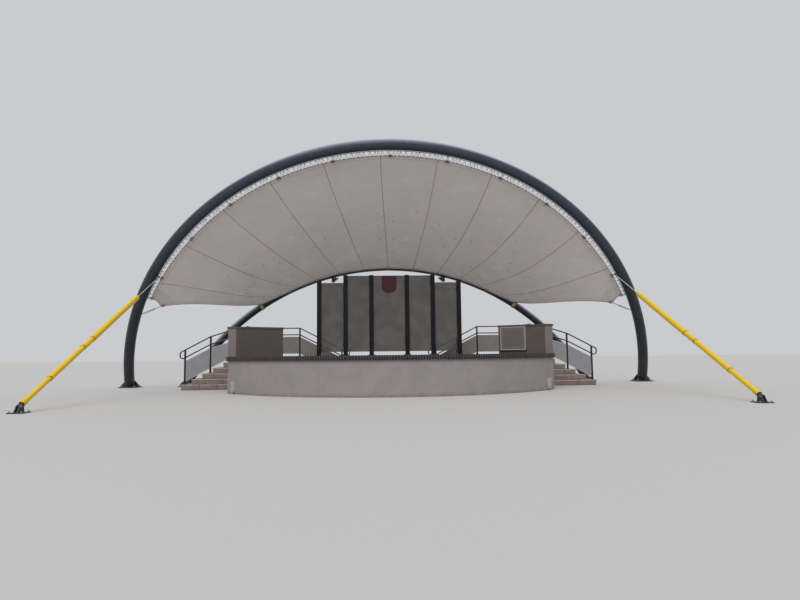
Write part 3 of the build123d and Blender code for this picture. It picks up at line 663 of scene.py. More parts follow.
def finish_piece(
    bm: BMesh, name: str, material: Material, replaces: Iterable[str] = (), sharp: float = 35.0,
) -> Object:
    """Turns a mesh into a piece that rides on the stage.

    Args:
        bm: the finished mesh, which is freed.
        name: the piece's name.
        material: its material.
        replaces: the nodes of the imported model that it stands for.
        sharp: edges that turn by more than this many degrees stay sharp.

    Returns:
        The new object.
    """
    for face in bm.faces:
        face.smooth = True
    for edge in bm.edges:
        edge.smooth = edge.calc_face_angle(0.0) < radians(sharp)
    mesh = bpy.data.meshes.new(name)
    bm.to_mesh(mesh)
    bm.free()
    mesh.materials.append(material)
    piece = bpy.data.objects.new(name, mesh)
    bpy.context.scene.collection.objects.link(piece)
    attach(piece, "root")
    if replaces:
        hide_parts(*replaces)
    log.info("%s: %d faces", name, len(mesh.polygons))
    return piece


def dress(nodes: dict[str, Object], names: Iterable[str], material: Material) -> None:
    """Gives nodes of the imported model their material."""
    for name in names:
        mesh = nodes[name].data
        mesh.materials.clear()
        mesh.materials.append(material)


def bolt(bm: BMesh, foot: Vector, up: Vector, shank: float, stud: float) -> None:
    """Adds a washer, a hexagon nut and the end of a stud.

    Args:
        bm: the mesh that is being made.
        foot: the middle of the washer's underside.
        up: the direction of the stud.
        shank: the stud's diameter.
        stud: how far the stud stands up in all.
    """
    foot, up = Vector(foot), Vector(up).normalized()
    washer = foot + up * shank * 0.18
    nut = washer + up * shank * 0.85
    rod(bm, foot, washer, shank * 1.05, 12)
    rod(bm, washer, nut, shank * 0.88, 6)
    rod(bm, nut, foot + up * stud, shank / 2, 8)


def four_bolts(bm: BMesh, middle: Vector, dx: float, dy: float, shank: float, stud: float) -> None:
    """Adds four upright bolts round a point.

    Args:
        bm: the mesh that is being made.
        middle: the point between them, where their washers lie.
        dx: from the point to each bolt along X.
        dy: the same along Y.
        shank: the studs' diameter.
        stud: how far the studs stand up in all.
    """
    for x in (-dx, dx):
        for y in (-dy, dy):
            bolt(bm, middle + Vector((x, y, 0)), UP, shank, stud)


# Arches


@dataclass(frozen=True)
class LeaningArch:
    """A round tube along a circle in a plane that leans."""

    radius: float
    centre_depth: float
    lean: float
    foot_y: float
    tube: float

    def point(self, angle: float, inset: float = 0.0, forward: float = 0.0) -> Vector:
        """A point of the circle, or inside it by the inset, or forward of its plane.

        Args:
            angle: from the right horizontal, in radians.
            inset: towards the circle's centre.
            forward: square to the circle's plane, towards the seats.

        Returns:
            The point.
        """
        out = self.radius - inset
        rise = out * sin(angle) - self.centre_depth
        tilt = radians(self.lean)
        return Vector((
            out * cos(angle),
            self.foot_y - rise * sin(tilt) - forward * cos(tilt),
            rise * cos(tilt) - forward * sin(tilt),
        ))

    @property
    def centre(self) -> Vector:
        """The circle's centre."""
        return self.point(0.0, self.radius)

    @property
    def axis(self) -> Vector:
        """The direction square to the circle's plane, towards the seats."""
        return self.point(0.0, 0.0, 1.0) - self.point(0.0)

    @property
    def foot_angle(self) -> float:
        """The angle at which the tube's centre line meets the ground on the right."""
        return asin(self.centre_depth / self.radius)

    def bead(self, bm: BMesh, angle: float, wire: float, proud: float = 0.0) -> None:
        """Adds a ring round the tube, such as a weld bead or one turn of rope."""
        across = self.point(angle + 0.001) - self.point(angle - 0.001)
        ring(bm, self.point(angle), across, self.tube / 2 + proud, wire, 36, 6)


FRONT = LeaningArch(9.68, 0.78, 30.0, 1.0, 0.3556)
REAR_RISE = 4.65
REAR_FOOT = sqrt(9.68**2 - 0.78**2) - 1.95
REAR_RADIUS = (REAR_FOOT**2 + REAR_RISE**2) / (2 * REAR_RISE)
REAR = LeaningArch(REAR_RADIUS, REAR_RADIUS - REAR_RISE, -8.3, 1.35, 0.273)


@dataclass
class Arches:
    """Weld beads, foot bolts and the paint of both arches."""

    palette: Palette
    lengths: tuple[tuple[LeaningArch, int], ...] = ((FRONT, 4), (REAR, 3))
    feet: tuple[tuple[LeaningArch, float, float], ...] = ((FRONT, 0.5, 0.03), (REAR, 0.36, 0.025))
    stud: float = 0.027
    stud_height: float = 0.065
    bead_wire: float = 0.006

    def build(self, nodes: dict[str, Object]) -> None:
        """Dresses the tubes and adds welds and bolts."""
        tubes = [f"front_arch_{i}" for i in range(1, 5)] + [f"rear_arch_{i}" for i in range(1, 4)]
        dress(nodes, tubes, self.palette.arch)
        dress(nodes, ["front_arch_feet", "rear_arch_feet"], self.palette.steel)
        beads = bmesh.new()
        for arch, count in self.lengths:
            step = (pi - 2 * arch.foot_angle) / count
            for i in range(1, count):
                arch.bead(beads, arch.foot_angle + step * i, self.bead_wire)
        finish_piece(beads, "arch_weld_beads", self.palette.arch)
        bolts = bmesh.new()
        for arch, spacing, plate in self.feet:
            foot = arch.point(arch.foot_angle)
            for side in Side:
                middle = Vector((side.value * foot.x, foot.y, plate))
                four_bolts(bolts, middle, spacing / 2, spacing / 2, self.stud, self.stud_height)
        finish_piece(bolts, "arch_foot_bolts", self.palette.zinc)


# Canopy


@dataclass
class CanopyShape:
    """The membrane's lines between the two arches, in panels counted from the middle."""

    half_count: int = 6
    panel_angle: float = 11.3
    edge_panel_angle: float = 8.3
    rear_width: float = 0.975
    rear_edge_width: float = 0.155
    front_gap: float = 0.35
    corner_gap: float = 0.285
    rear_gap: float = 0.04
    rear_drop: float = 35.0
    rear_lift: float = 30.0
    sag: float = 0.17
    hollow: float = 0.34
    cut: float = 0.45
    skew: float = 0.17
    bend: float = 0.235
    bend_from: float = 2.4
    bow: float = 0.1

    def split(self, seam: float) -> tuple[float, float]:
        """How many full panels and how much of the edge panel lie inside a seam."""
        inner = min(abs(seam), self.half_count - 1)
        return inner, abs(seam) - inner

    def front_angle(self, seam: float) -> float:
        """The seam's angle on the front arch."""
        inner, outer = self.split(seam)
        turn = inner * self.panel_angle + outer * self.edge_panel_angle
        return radians(90 - turn if seam >= 0 else 90 + turn)

    def seam_at(self, angle: float) -> float:
        """The seam number at an angle of the front arch."""
        turn = abs(90 - degrees(angle))
        last = self.half_count - 1
        full = last * self.panel_angle
        seam = turn / self.panel_angle if turn <= full else last + (turn - full) / self.edge_panel_angle
        return seam if angle <= pi / 2 else -seam

    def rear_angle(self, seam: float) -> float:
        """The seam's angle on the rear arch."""
        inner, outer = self.split(seam)
        reach = inner * self.rear_width + outer * self.rear_edge_width
        angle = asin(sqrt(1 - (reach / REAR.radius) ** 2))
        return angle if seam >= 0 else pi - angle

    def freedom(self, seam: float) -> float:
        """0 in the middle fields, growing to 1 at the free edge over the last two panels."""
        return max(0.0, abs(seam) - (self.half_count - 2)) / 2

    def ease(self, seam: float) -> float:
        """0 in the middle fields, easing to 1 at the free edge."""
        corner = self.freedom(seam)
        return corner * corner * (3 - 2 * corner)

    def rear_edge(self, seam: float, distance: float) -> Vector:
        """A point at a distance from the rear arch's centre line, towards the membrane's edge."""
        angle = self.rear_angle(seam)
        tilt = radians(REAR.lean)
        forward = Vector((0, -cos(tilt), -sin(tilt)))
        outward = Vector((cos(angle), -sin(angle) * sin(tilt), sin(angle) * cos(tilt)))
        turn = radians(-self.rear_drop + (self.rear_drop + self.rear_lift) * self.ease(seam))
        return REAR.point(angle) + (forward * cos(turn) + outward * sin(turn)) * distance

    def point(self, seam: float, share: float) -> Vector:
        """A point of the membrane: the share runs from the front arch to the rear one."""
        gap = self.front_gap - (self.front_gap - self.corner_gap) * self.ease(seam)
        front = FRONT.point(self.front_angle(seam), gap)
        rear = self.rear_edge(seam, REAR.tube / 2 + self.rear_gap)
        lean_in = (self.front_angle(seam) + self.rear_angle(seam)) / 2
        drop = Vector((cos(lean_in), 0, sin(lean_in))) * self.sag * 4 * share * (1 - share)
        return front + (rear - front) * share - drop

    def surface(self, seam: float, share: float) -> Vector:
        """The membrane's point with its free edge drawn in, as that edge is hollow."""
        pull = self.freedom(seam) * self.hollow * 4 * share * (1 - share)
        return self.point(seam - pull if seam > 0 else seam + pull, share)

    def welded(self, panel: float, share: float) -> float:
        """Where a panel's weld lies: left of its clamp in front, bent inwards behind, bowed on the right."""
        fade = min(1.0, self.half_count - abs(panel))
        inward = max(0.0, abs(panel) - self.bend_from) * self.bend * share**4.5
        turn = 1 if panel > 0 else -1
        bowed = self.bow * min(1.0, max(0.0, panel / 2)) * 4 * share * (1 - share)
        return panel - fade * (self.skew * (1 - share**1.7) + turn * inward - bowed)

    def normal(self, seam: float, share: float) -> Vector:
        """The direction square to the membrane, on its upper side."""
        step = 0.01
        across = self.surface(seam + step, share) - self.surface(seam - step, share)
        inward = self.surface(seam, min(1.0, share + step)) - self.surface(seam, max(0.0, share - step))
        return across.cross(inward).normalized()

    def corner(self, side: Side) -> Vector:
        """The middle of the round cut at a front corner."""
        return self.point(self.half_count * side.value, 0.0)


@dataclass
class Canopy:
    """The one membrane, its hem rope, the lacing to both arches and the corner plates."""

    palette: Palette
    shape: CanopyShape = field(default_factory=CanopyShape)
    panel_columns: int = 24
    rows: int = 44
    cloth: float = 0.004
    map_size: tuple[float, float] = (1.6, 3.6)
    scallops: int = 13
    scallop_depth: float = 0.0032
    scallop_fade: float = 12.0
    hem_rope: float = 0.008
    lace: float = 0.009
    pitch: float = 0.145
    eyelet_inset: float = 0.045
    eyelet: float = 0.016
    rail: float = 0.009
    rail_gap: float = 0.022
    rail_end: float = 5.72
    rail_stubs: int = 45
    rear_reach: float = 9.3
    turnbuckle: float = 0.028
    turnbuckle_span: tuple[float, float] = (0.14, 0.56)
    seat_up: float = 0.45
    seat_down: float = 0.27

    def build(self, nodes: dict[str, Object]) -> None:
        """Builds the sheet, hem, lacing and fittings."""
        sheet = self.make_sheet()
        hem = self.make_hem()
        front = self.make_front_lacing()
        rear = self.make_rear_lacing()
        plates = self.make_corner_plates()
        self.make_turnbuckles()
        self.make_clamp_bolts()
        self.make_rope_turns()
        solid = sheet.modifiers.new("cloth", "SOLIDIFY")
        solid.thickness = self.cloth
        solid.offset = 0.0
        dress(nodes, ["front_seam_ties", "rear_seam_ties"], self.palette.clamp)
        dress(nodes, ["corner_fittings"], self.palette.zinc)

    def make_sheet(self) -> Object:
        """The membrane as one grid laid on its lines, with the round cuts trimmed off."""
        shape = self.shape
        last = float(shape.half_count)
        bm = bmesh.new()
        columns = 2 * shape.half_count * self.panel_columns
        bmesh.ops.create_grid(bm, x_segments=columns, y_segments=self.rows, size=1.0)
        cloth = bm.loops.layers.uv.new("cloth")
        layers = [bm.verts.layers.float.new(f"{name}_distance") for name in ("seam", "hem", "corner")]
        spots = {vert: (vert.co.x * last, (vert.co.y + 1) / 2) for vert in bm.verts}
        for face in bm.faces:
            for loop in face.loops:
                panel, share = spots[loop.vert]
                loop[cloth].uv = (panel * self.map_size[0], share * self.map_size[1])
        corners = [shape.corner(side) for side in Side]
        for vert, (panel, share) in spots.items():
            seam = shape.welded(panel, share)
            place = shape.surface(seam, share)
            before, after = max(-last, seam - 0.05), min(last, seam + 0.05)
            width = (shape.surface(after, share) - shape.surface(before, share)).length / (after - before)
            length = (shape.surface(seam, 1.0) - shape.surface(seam, 0.0)).length
            distances = (
                abs(panel - round(panel)) * width if abs(panel) < last - 0.5 else 1.0,
                min(share * length, (1 - share) * length, (last - abs(seam)) * width),
                min((place - c).length for c in corners),
            )
            for layer, distance in zip(layers, distances):
                vert[layer] = distance
            wave = 0.5 - 0.5 * cos(2 * pi * seam * self.scallops)
            fade = max(0.0, 1 - min(share, 1 - share) * self.scallop_fade)
            normal = shape.normal(max(0.02 - last, min(last - 0.02, seam)), share)
            vert.co = place - normal * self.scallop_depth * wave * fade
        self.trim_corners(bm, corners)
        parts = ("outer", "middle", "inner")
        fields = [f"canopy_{part}_{side}" for part in parts for side in ("left", "right")]
        return finish_piece(bm, "canopy_membrane", self.palette.membrane, fields, 80)

    def trim_corners(self, bm: BMesh, corners: list[Vector]) -> None:
        """Cuts the round bites off the front corners, with a clean edge on the circle.

        Args:
            bm: the membrane's mesh.
            corners: the middles of the two bites.
        """
        cut = self.shape.cut
        for corner in corners:
            inside = {v for v in bm.verts if (v.co - corner).length < cut}
            gone = [f for f in bm.faces if all(v in inside for v in f.verts)]
            bmesh.ops.delete(bm, geom=gone, context="FACES")
            for vert in inside:
                if vert.is_valid:
                    vert.co = corner + (vert.co - corner).normalized() * cut
        loose = [v for v in bm.verts if not v.link_faces]
        bmesh.ops.delete(bm, geom=loose, context="VERTS")

    def edge_lines(self) -> list[list[Vector]]:
        """The membrane's whole rim as lines of points: front, rear, free edges and round cuts."""
        shape = self.shape
        last = shape.half_count
        lines = []
        for share in (0.0, 1.0):
            line = [shape.surface(-last + 2 * last * i / 480, share) for i in range(481)]
            lines.append([p for p in line if all((p - shape.corner(s)).length >= shape.cut for s in Side)])
        for side in Side:
            corner = shape.corner(side)
            line = [shape.surface(last * side.value, i / 90) for i in range(91)]
            line = [p for p in line if (p - corner).length >= shape.cut]
            first, final = lines[0][-1 if side is Side.RIGHT else 0] - corner, line[0] - corner
            turn = first.rotation_difference(final)
            arc = []
            for i in range(17):
                step = turn.copy()
                step.angle = turn.angle * i / 16
                arc.append(corner + (step @ first).normalized() * shape.cut)
            lines += [line, arc]
        return lines

    def corner_tips(self) -> list[tuple[Side, list[Vector], list[Vector]]]:
        """Each side with its free edge and its round cut."""
        lines = self.edge_lines()
        return [(side, lines[2 + 2 * i], lines[3 + 2 * i]) for i, side in enumerate(Side)]

    def make_hem(self) -> Object:
        """The rope sewn into the hem, all round the membrane."""
        bm = bmesh.new()
        for line in self.edge_lines():
            for start, end in zip(line, line[1:]):
                if (end - start).length > 1e-5:
                    rod(bm, start, end, self.hem_rope, 6)
        return finish_piece(bm, "membrane_hem_rope", self.palette.membrane)

    def laced(self, name: str, seams: list[float], share: float, anchor: Callable[[float], Vector]) -> list:
        """Rope that runs in a zigzag between the eyelets and the rail, and the eyelets.

        Args:
            name: the start of the pieces' names.
            seams: where the eyelets are, in panels from the middle.
            share: 0 for the front edge, 1 for the rear one.
            anchor: the point of the rail for a seam.

        Returns:
            The two new pieces.
        """
        ropes = bmesh.new()
        eyes = bmesh.new()
        shape = self.shape
        spots = []
        for seam in seams:
            inset = self.eyelet_inset / (shape.point(seam, 1.0) - shape.point(seam, 0.0)).length
            place = inset if share == 0 else 1 - inset
            point = shape.surface(seam, place)
            normal = shape.normal(seam, place)
            ring(eyes, point, normal, self.eyelet, 0.0045, 10, 5)
            spots.append((seam, point, normal))
        for (s0, p0, n0), (s1, p1, n1) in zip(spots, spots[1:]):
            pull = 0.5 + 0.32 * sin(s0 * 61.0)
            hook = anchor(s0 + (s1 - s0) * pull)
            rod(ropes, p0 + n0 * 0.006, hook + n0 * 0.004, self.lace, 6)
            rod(ropes, hook - n0 * 0.004, p1 - n1 * 0.006, self.lace, 6)
            rod(ropes, p1 - n1 * 0.01, p1 + n1 * 0.01, self.lace, 6)
        rope = finish_piece(ropes, f"{name}_rope", self.palette.rope)
        eyelets = finish_piece(eyes, f"{name}_eyelets", self.palette.zinc)
        return [rope, eyelets]

    def make_front_lacing(self) -> list:
        """The lacing rail under the front arch, its stubs, the rope and the eyelets."""
        shape = self.shape
        out = FRONT.tube / 2 + self.rail_gap
        low, high = shape.front_angle(self.rail_end), shape.front_angle(-self.rail_end)
        bm = bmesh.new()
        first = FRONT.point(low, out) - FRONT.centre
        sense = 1 if FRONT.axis.cross(first).dot(FRONT.point(low + 0.01) - FRONT.point(low)) > 0 else -1
        ring(bm, FRONT.centre, FRONT.axis * sense, FRONT.radius - out, self.rail, 180, 8, high - low, first)
        for i in range(self.rail_stubs):
            angle = low + (high - low) * (i + 0.5) / self.rail_stubs
            rod(bm, FRONT.point(angle, FRONT.tube / 2 - 0.004), FRONT.point(angle, out), 0.007, 8)
        rail = finish_piece(bm, "front_lacing_rail", self.palette.steel)
        count = int((high - low) / (self.pitch / (FRONT.radius - shape.front_gap)))
        seams = [shape.seam_at(low + (high - low) * i / count) for i in range(count + 1)]

        def hook(seam: float) -> Vector:
            """The rail's point at a seam."""
            return FRONT.point(shape.front_angle(seam), out + self.rail)

        return [*self.laced("front_lacing", seams, 0, hook), rail]

    def make_rear_lacing(self) -> list:
        """The rope and eyelets between the rear edge and the lower side of the rear arch."""
        shape = self.shape
        reach = self.rear_reach
        count = int(reach / self.pitch)
        seams = [(-reach / 2 + reach * i / count) / shape.rear_width for i in range(count + 1)]

        def hook(seam: float) -> Vector:
            """The point of the rear arch's lower side at a seam."""
            return shape.rear_edge(seam, REAR.tube / 2 + 0.004)

        return self.laced("rear_lacing", seams, 1, hook)

    def make_corner_plates(self) -> Object:
        """Round clamp plates with three bolts at the two tips of each round cut."""
        shape = self.shape
        bm = bmesh.new()
        for side, free, arc in self.corner_tips():
            inward = (shape.surface(side.value * 5.0, 0.12) - shape.corner(side)).normalized()
            normal = shape.normal(side.value * 5.7, 0.08)
            for tip, inner in ((arc[0], arc[4]), (free[0], free[6])):
                spot = tip + inward * 0.035 + (inner - tip).normalized() * 0.02
                for turn in (-1, 1):
                    rod(bm, spot + normal * 0.003 * turn, spot + normal * 0.013 * turn, 0.062, 20)
                for j in range(3):
                    out = Matrix.Rotation(2 * pi * j / 3, 3, normal) @ inward * 0.036
                    bolt(bm, spot + out + normal * 0.013, normal, 0.012, 0.03)
        return finish_piece(bm, "corner_clamp_plates", self.palette.zinc)

    def make_turnbuckles(self) -> None:
        """Bright turnbuckle bodies with lock nuts on the rods between the corners and the front arch."""
        bm = bmesh.new()
        for side, free, arc in self.corner_tips():
            corner = self.shape.front_angle(self.shape.half_count * side.value)
            for tip, turn in ((arc[0], -self.seat_up), (free[0], self.seat_down)):
                seat = FRONT.point(corner - side.value * turn / FRONT.radius, FRONT.tube / 2)
                low, high = (seat.lerp(tip, share) for share in self.turnbuckle_span)
                rod(bm, low, high, self.turnbuckle, 12)
                for end, way in ((low, seat - tip), (high, tip - seat)):
                    rod(bm, end, end + way.normalized() * 0.022, self.turnbuckle * 1.15, 6)
        finish_piece(bm, "corner_turnbuckles", self.palette.wire)

    def make_clamp_bolts(self) -> None:
        """Two bolts through each forked clamp at the seams' ends."""
        shape = self.shape
        bm = bmesh.new()
        for share, towards, last in ((0.0, 0.01, 5), (1.0, 0.99, 4)):
            for seam in range(-last, last + 1):
                edge = shape.point(seam, share)
                inward = (shape.point(seam, towards) - edge).normalized()
                across = (shape.point(seam + 0.01, share) - shape.point(seam - 0.01, share)).normalized()
                up = across.cross(inward).normalized()
                for side in (-0.042, 0.042):
                    spot = edge + across * side + inward * 0.022
                    for turn in (-1, 1):
                        bolt(bm, spot + up * turn * 0.0226, up * turn, 0.012, 0.022)
        finish_piece(bm, "seam_clamp_bolts", self.palette.zinc)

    def make_rope_turns(self) -> None:
        """The rope that lashes each rear corner of the membrane to the rear arch."""
        bm = bmesh.new()
        for side in Side:
            angle = self.shape.rear_angle(5.7 * side.value)
            for i in range(5):
                REAR.bead(bm, angle + (i - 2) * 0.0026 * side.value, 0.011, 0.009)
        finish_piece(bm, "rear_corner_lashing", self.palette.lashing)


# Podium


@dataclass
class Podium:
    """Walls, bricks, paving, wing walls, notice board and service boxes."""

    palette: Palette
    radius: float = 6.0
    half_width: float = 5.0
    overhang: float = 0.05
    brick: tuple[float, float, float] = (0.24, 0.065, 0.131)
    module: float = 0.075
    brick_proud: float = 0.004
    brick_play: float = 0.002
    wing_length: float = 1.7
    wing_thickness: float = 0.24
    wing_height: float = 0.9
    end_skew: float = 0.165
    board_start: float = 0.79
    board_width: float = 0.83
    board_lift: float = 0.12
    board_height: float = 0.73
    box_in: float = 0.517
    box_depth: float = 0.07
    box_lift: float = 0.04
    box_slots: int = 4

    @property
    def corner_angle(self) -> float:
        """The angle of the front corners, from the middle of the curved wall."""
        return asin(self.half_width / self.radius)

    def build(self, nodes: dict[str, Object]) -> None:
        """Dresses the walls and adds bricks, caps, board and boxes."""
        looks = self.palette
        dress(nodes, ["front_retaining_wall", "side_retaining_walls", "rear_retaining_wall"], looks.wall)
        dress(nodes, ["podium_fill", "rear_podium_fill"], looks.fill)
        dress(nodes, ["stage_floor", "rear_landings"], looks.paving)
        dress(nodes, ["brick_coping"], looks.mortar)
        dress(nodes, ["wing_wall_left", "wing_wall_right"], looks.wing)
        dress(nodes, ["wing_wall_caps"], looks.cap)
        dress(nodes, ["service_boxes"], looks.box)
        dress(nodes, ["notice_board"], looks.frame)
        self.make_bricks()
        self.make_cap_seams()
        self.make_wing_ends()
        self.make_board()
        self.make_boxes()

    def make_bricks(self) -> None:
        """One row of bricks on edge along the curved wall, each with its own shade and set."""
        bm = bmesh.new()
        shade = bm.verts.layers.float.new("brick_shade")
        length, width, tall = self.brick
        outer = self.radius + self.overhang + self.brick_proud
        reach = self.corner_angle - 0.004
        count = round(2 * reach * outer / self.module)
        for i in range(count):
            turn = Matrix.Rotation(-reach + 2 * reach * (i + 0.5) / count, 4, "Z")
            wobble = sin(i * 12.9898) * 43758.5453
            shift = wobble - floor(wobble)
            top = FLOOR_Z + self.brick_proud - self.brick_play * (1 - shift)
            low = (-width / 2, -outer + self.brick_play * shift, top - tall)
            for vert in box_at(bm, low, (width / 2, -outer + length, top), 0.004, turn):
                vert[shade] = shift
        finish_piece(bm, "coping_bricks", self.palette.clinker, sharp=50)

    def wing_frame(self, side: Side) -> Matrix:
        """The frame of a wing wall: X along it from its front end, Y to the stage's middle."""
        radial = Vector((sin(self.corner_angle) * side.value, -cos(self.corner_angle), 0))
        inward = Vector((-cos(self.corner_angle) * side.value, -sin(self.corner_angle), 0))
        turn = Matrix((-radial, inward, UP)).transposed().to_4x4()
        return Matrix.Translation(radial * self.radius) @ turn

    def wing_plan(self, margin: float) -> list[Vector]:
        """The wing wall's corners in its own frame, with its skewed end, widened by a margin."""
        end = hypot(self.end_skew, self.wing_thickness)
        low, high = -margin, self.wing_thickness + margin
        front = [(y * self.end_skew - margin * end) / self.wing_thickness for y in (low, high)]
        back = self.wing_length + margin
        return [Vector((x, y, 0)) for x, y in ((front[0], low), (back, low), (back, high), (front[1], high))]

    def make_cap_seams(self) -> None:
        """A folded joint strip across the middle of each cap, and a drip edge all round it."""
        bm = bmesh.new()
        margin = 0.018
        top = FLOOR_Z + self.wing_height + 0.012
        plan = [corner + UP * (top - 0.052) for corner in self.wing_plan(margin)]
        middle = self.wing_length / 2
        edge = self.wing_thickness + margin
        for side in Side:
            frame = self.wing_frame(side)
            box_at(bm, (middle - 0.03, -margin, top - 0.05), (middle + 0.03, edge, top + 0.003), 0.002, frame)
            for start, end in zip(plan, plan[1:] + plan[:1]):
                half = (end - start).length / 2
                line = along(frame @ start, frame @ end)
                box_at(bm, (-0.0025, -0.0025, -half), (0.0025, 0.0025, half), 0.0008, line)
        finish_piece(bm, "cap_joint_strips", self.palette.cap)

    def make_wing_ends(self) -> None:
        """The front end of each wing wall, skimmed and painted like the curved wall."""
        bm = bmesh.new()
        width = hypot(self.end_skew, self.wing_thickness)
        run = Vector((self.end_skew, self.wing_thickness, 0)) / width
        turn = Matrix((run, Vector((-run.y, run.x, 0)), UP)).transposed().to_4x4()
        for side in Side:
            frame = self.wing_frame(side) @ Matrix.Translation((0, 0, FLOOR_Z)) @ turn
            box_at(bm, (0.002, 0, 0.002), (width - 0.002, 0.004, self.wing_height - 0.034), 0.001, frame)
        bmesh.ops.recalc_face_normals(bm, faces=bm.faces)
        finish_piece(bm, "wing_end_skims", self.palette.wing_end)

    def make_board(self) -> None:
        """The bare panel in the board's frame, a plain inner field, a dark ledge and corner screws."""
        looks = self.palette
        frame = self.wing_frame(Side.RIGHT)
        face = self.wing_thickness + 0.0175
        low, high = self.board_start, self.board_start + self.board_width
        foot = FLOOR_Z + self.board_lift
        top = foot + self.board_height
        for name, look, slot, inset, (y0, y1), (z0, z1), bevel in (
            ("board_panel", looks.sheet, "board", 0.018, (0.0, 0.006), (foot + 0.018, top - 0.018), 0.002),
            ("board_field", looks.board, "board", 0.085, (0.006, 0.009), (foot + 0.12, top - 0.085), 0.001),
            ("board_ledge", looks.ledge, "dark_steel", -0.01, (-0.0175, 0.03), (foot - 0.045, foot), 0.004),
        ):
            bm = bmesh.new()
            box_at(bm, (low + inset, face + y0, z0), (high - inset, face + y1, z1), bevel, frame)
            finish_piece(bm, name, look)
        bm = bmesh.new()
        for x in (low + 0.009, high - 0.009):
            for z in (foot + 0.009, top - 0.009):
                spot = frame @ Vector((x, face + 0.0175, z))
                rod(bm, spot, spot + frame.to_3x3() @ Vector((0, 0.003, 0)), 0.006, 10)
        finish_piece(bm, "board_screws", looks.zinc)

    def make_boxes(self) -> None:
        """Door, hinges, lock, slots and the conduit to the ground of each service box."""
        bm = bmesh.new()
        metal = bmesh.new()
        angle = self.corner_angle - self.box_in / self.radius
        for side in Side:
            out = Matrix.Translation((0, -self.radius - self.box_depth, self.box_lift))
            turn = Matrix.Rotation(angle * side.value, 4, "Z") @ out
            box_at(bm, (-0.062, -0.006, 0.012), (0.062, 0.002, 0.318), 0.002, turn)
            for i in range(self.box_slots):
                z = 0.045 + i * 0.014
                box_at(bm, (-0.035, -0.009, z), (0.035, -0.004, z + 0.006), 0.001, turn)
            for z in (0.06, 0.25):
                box_at(metal, (-0.066, -0.012, z), (-0.058, -0.004, z + 0.035), 0.002, turn)
            box_at(metal, (0.036, -0.012, 0.16), (0.05, -0.005, 0.19), 0.002, turn)
            conduit = [turn @ Vector((0, 0.03, z)) for z in (-self.box_lift, 0.002)]
            rod(metal, *conduit, 0.018, 12)
        finish_piece(bm, "service_box_doors", self.palette.box)
        finish_piece(metal, "service_box_fittings", self.palette.zinc)


@dataclass
class Steps:
    """The side steps as separate blocks, and the tread slabs of the rear flights."""

    palette: Palette
    depth: float = FLANK_DEPTH
    joint: float = 0.006
    slab: float = 0.042
    recess: float = 0.012
    block: float = 0.6
    bond: tuple[float, float] = (0.38, 0.5)
    first_lengths: tuple[float, ...] = (0.63, 0.49, 0.41, 0.5, 0.35)
    rear_span: tuple[float, float] = (0.952, 2.2)
    rear_slab: float = 0.05
    nosing: float = 0.012

    def build(self, nodes: dict[str, Object]) -> None:
        """Builds the blocks and slabs, and dresses the rear flights."""
        for course in range(TREADS):
            self.make_course(course)
        dress(nodes, ["rear_steps_left", "rear_steps_right"], self.palette.riser)
        self.make_rear_treads()

    def lengths(self, course: int) -> list[tuple[float, float]]:
        """Where the blocks of a course begin and end, from its nosing to the podium's wall."""
        nosing = PODIUM_SIDE_X + (TREADS - course) * GOING
        ends = [nosing, nosing - self.first_lengths[course]]
        while ends[-1] - PODIUM_SIDE_X > self.block * 1.5:
            ends.append(ends[-1] - self.block)
        if ends[-1] - PODIUM_SIDE_X < self.block * 0.2:
            ends.pop()
        ends.append(PODIUM_SIDE_X)
        return [(x0 + self.joint, x1) for x1, x0 in zip(ends, ends[1:])]

    def make_course(self, course: int) -> None:
        """One course: darker blocks in bond, set back a little under paler tread slabs."""
        blocks = bmesh.new()
        slabs = bmesh.new()
        low, high = course * RISER, (course + 1) * RISER
        middle = high - self.slab
        for side in Side:
            for i, (x0, x1) in enumerate(self.lengths(course)):
                cut = self.depth * self.bond[(i + course) % 2]
                front = self.recess if i == 0 else 0.0
                tread = sorted((x0 * side.value, x1 * side.value))
                block = sorted((x0 * side.value, (x1 - front) * side.value))
                for y0, y1, face in ((0.0, cut - self.joint, self.recess), (cut, self.depth, 0.0)):
                    near, far = FLANK_Y + y0, FLANK_Y + y1
                    box_at(slabs, (tread[0], near, middle), (tread[1], far, high - 0.001), 0.006)
                    box_at(blocks, (block[0], near + face, low), (block[1], far, middle), 0.005)
        number = course + 1
        course_node = [f"step_course_{number}"]
        finish_piece(blocks, f"step_blocks_{number}", self.palette.riser, course_node, 50)
        finish_piece(slabs, f"step_slabs_{number}", self.palette.tread, sharp=50)

    def make_rear_treads(self) -> None:
        """A slab on each rear tread that hangs over the riser a little."""
        bm = bmesh.new()
        near, far = self.rear_span
        for side in Side:
            for step in range(TREADS):
                x1 = WELL_X - step * GOING
                top = FLOOR_Z - (step + 1) * RISER + 0.004
                xs = sorted((x1 * side.value, (x1 - GOING - self.nosing) * side.value))
                box_at(bm, (xs[0], near, top - self.rear_slab), (xs[1], far, top), 0.005)
        finish_piece(bm, "rear_tread_slabs", self.palette.tread)


# Balustrades and screen


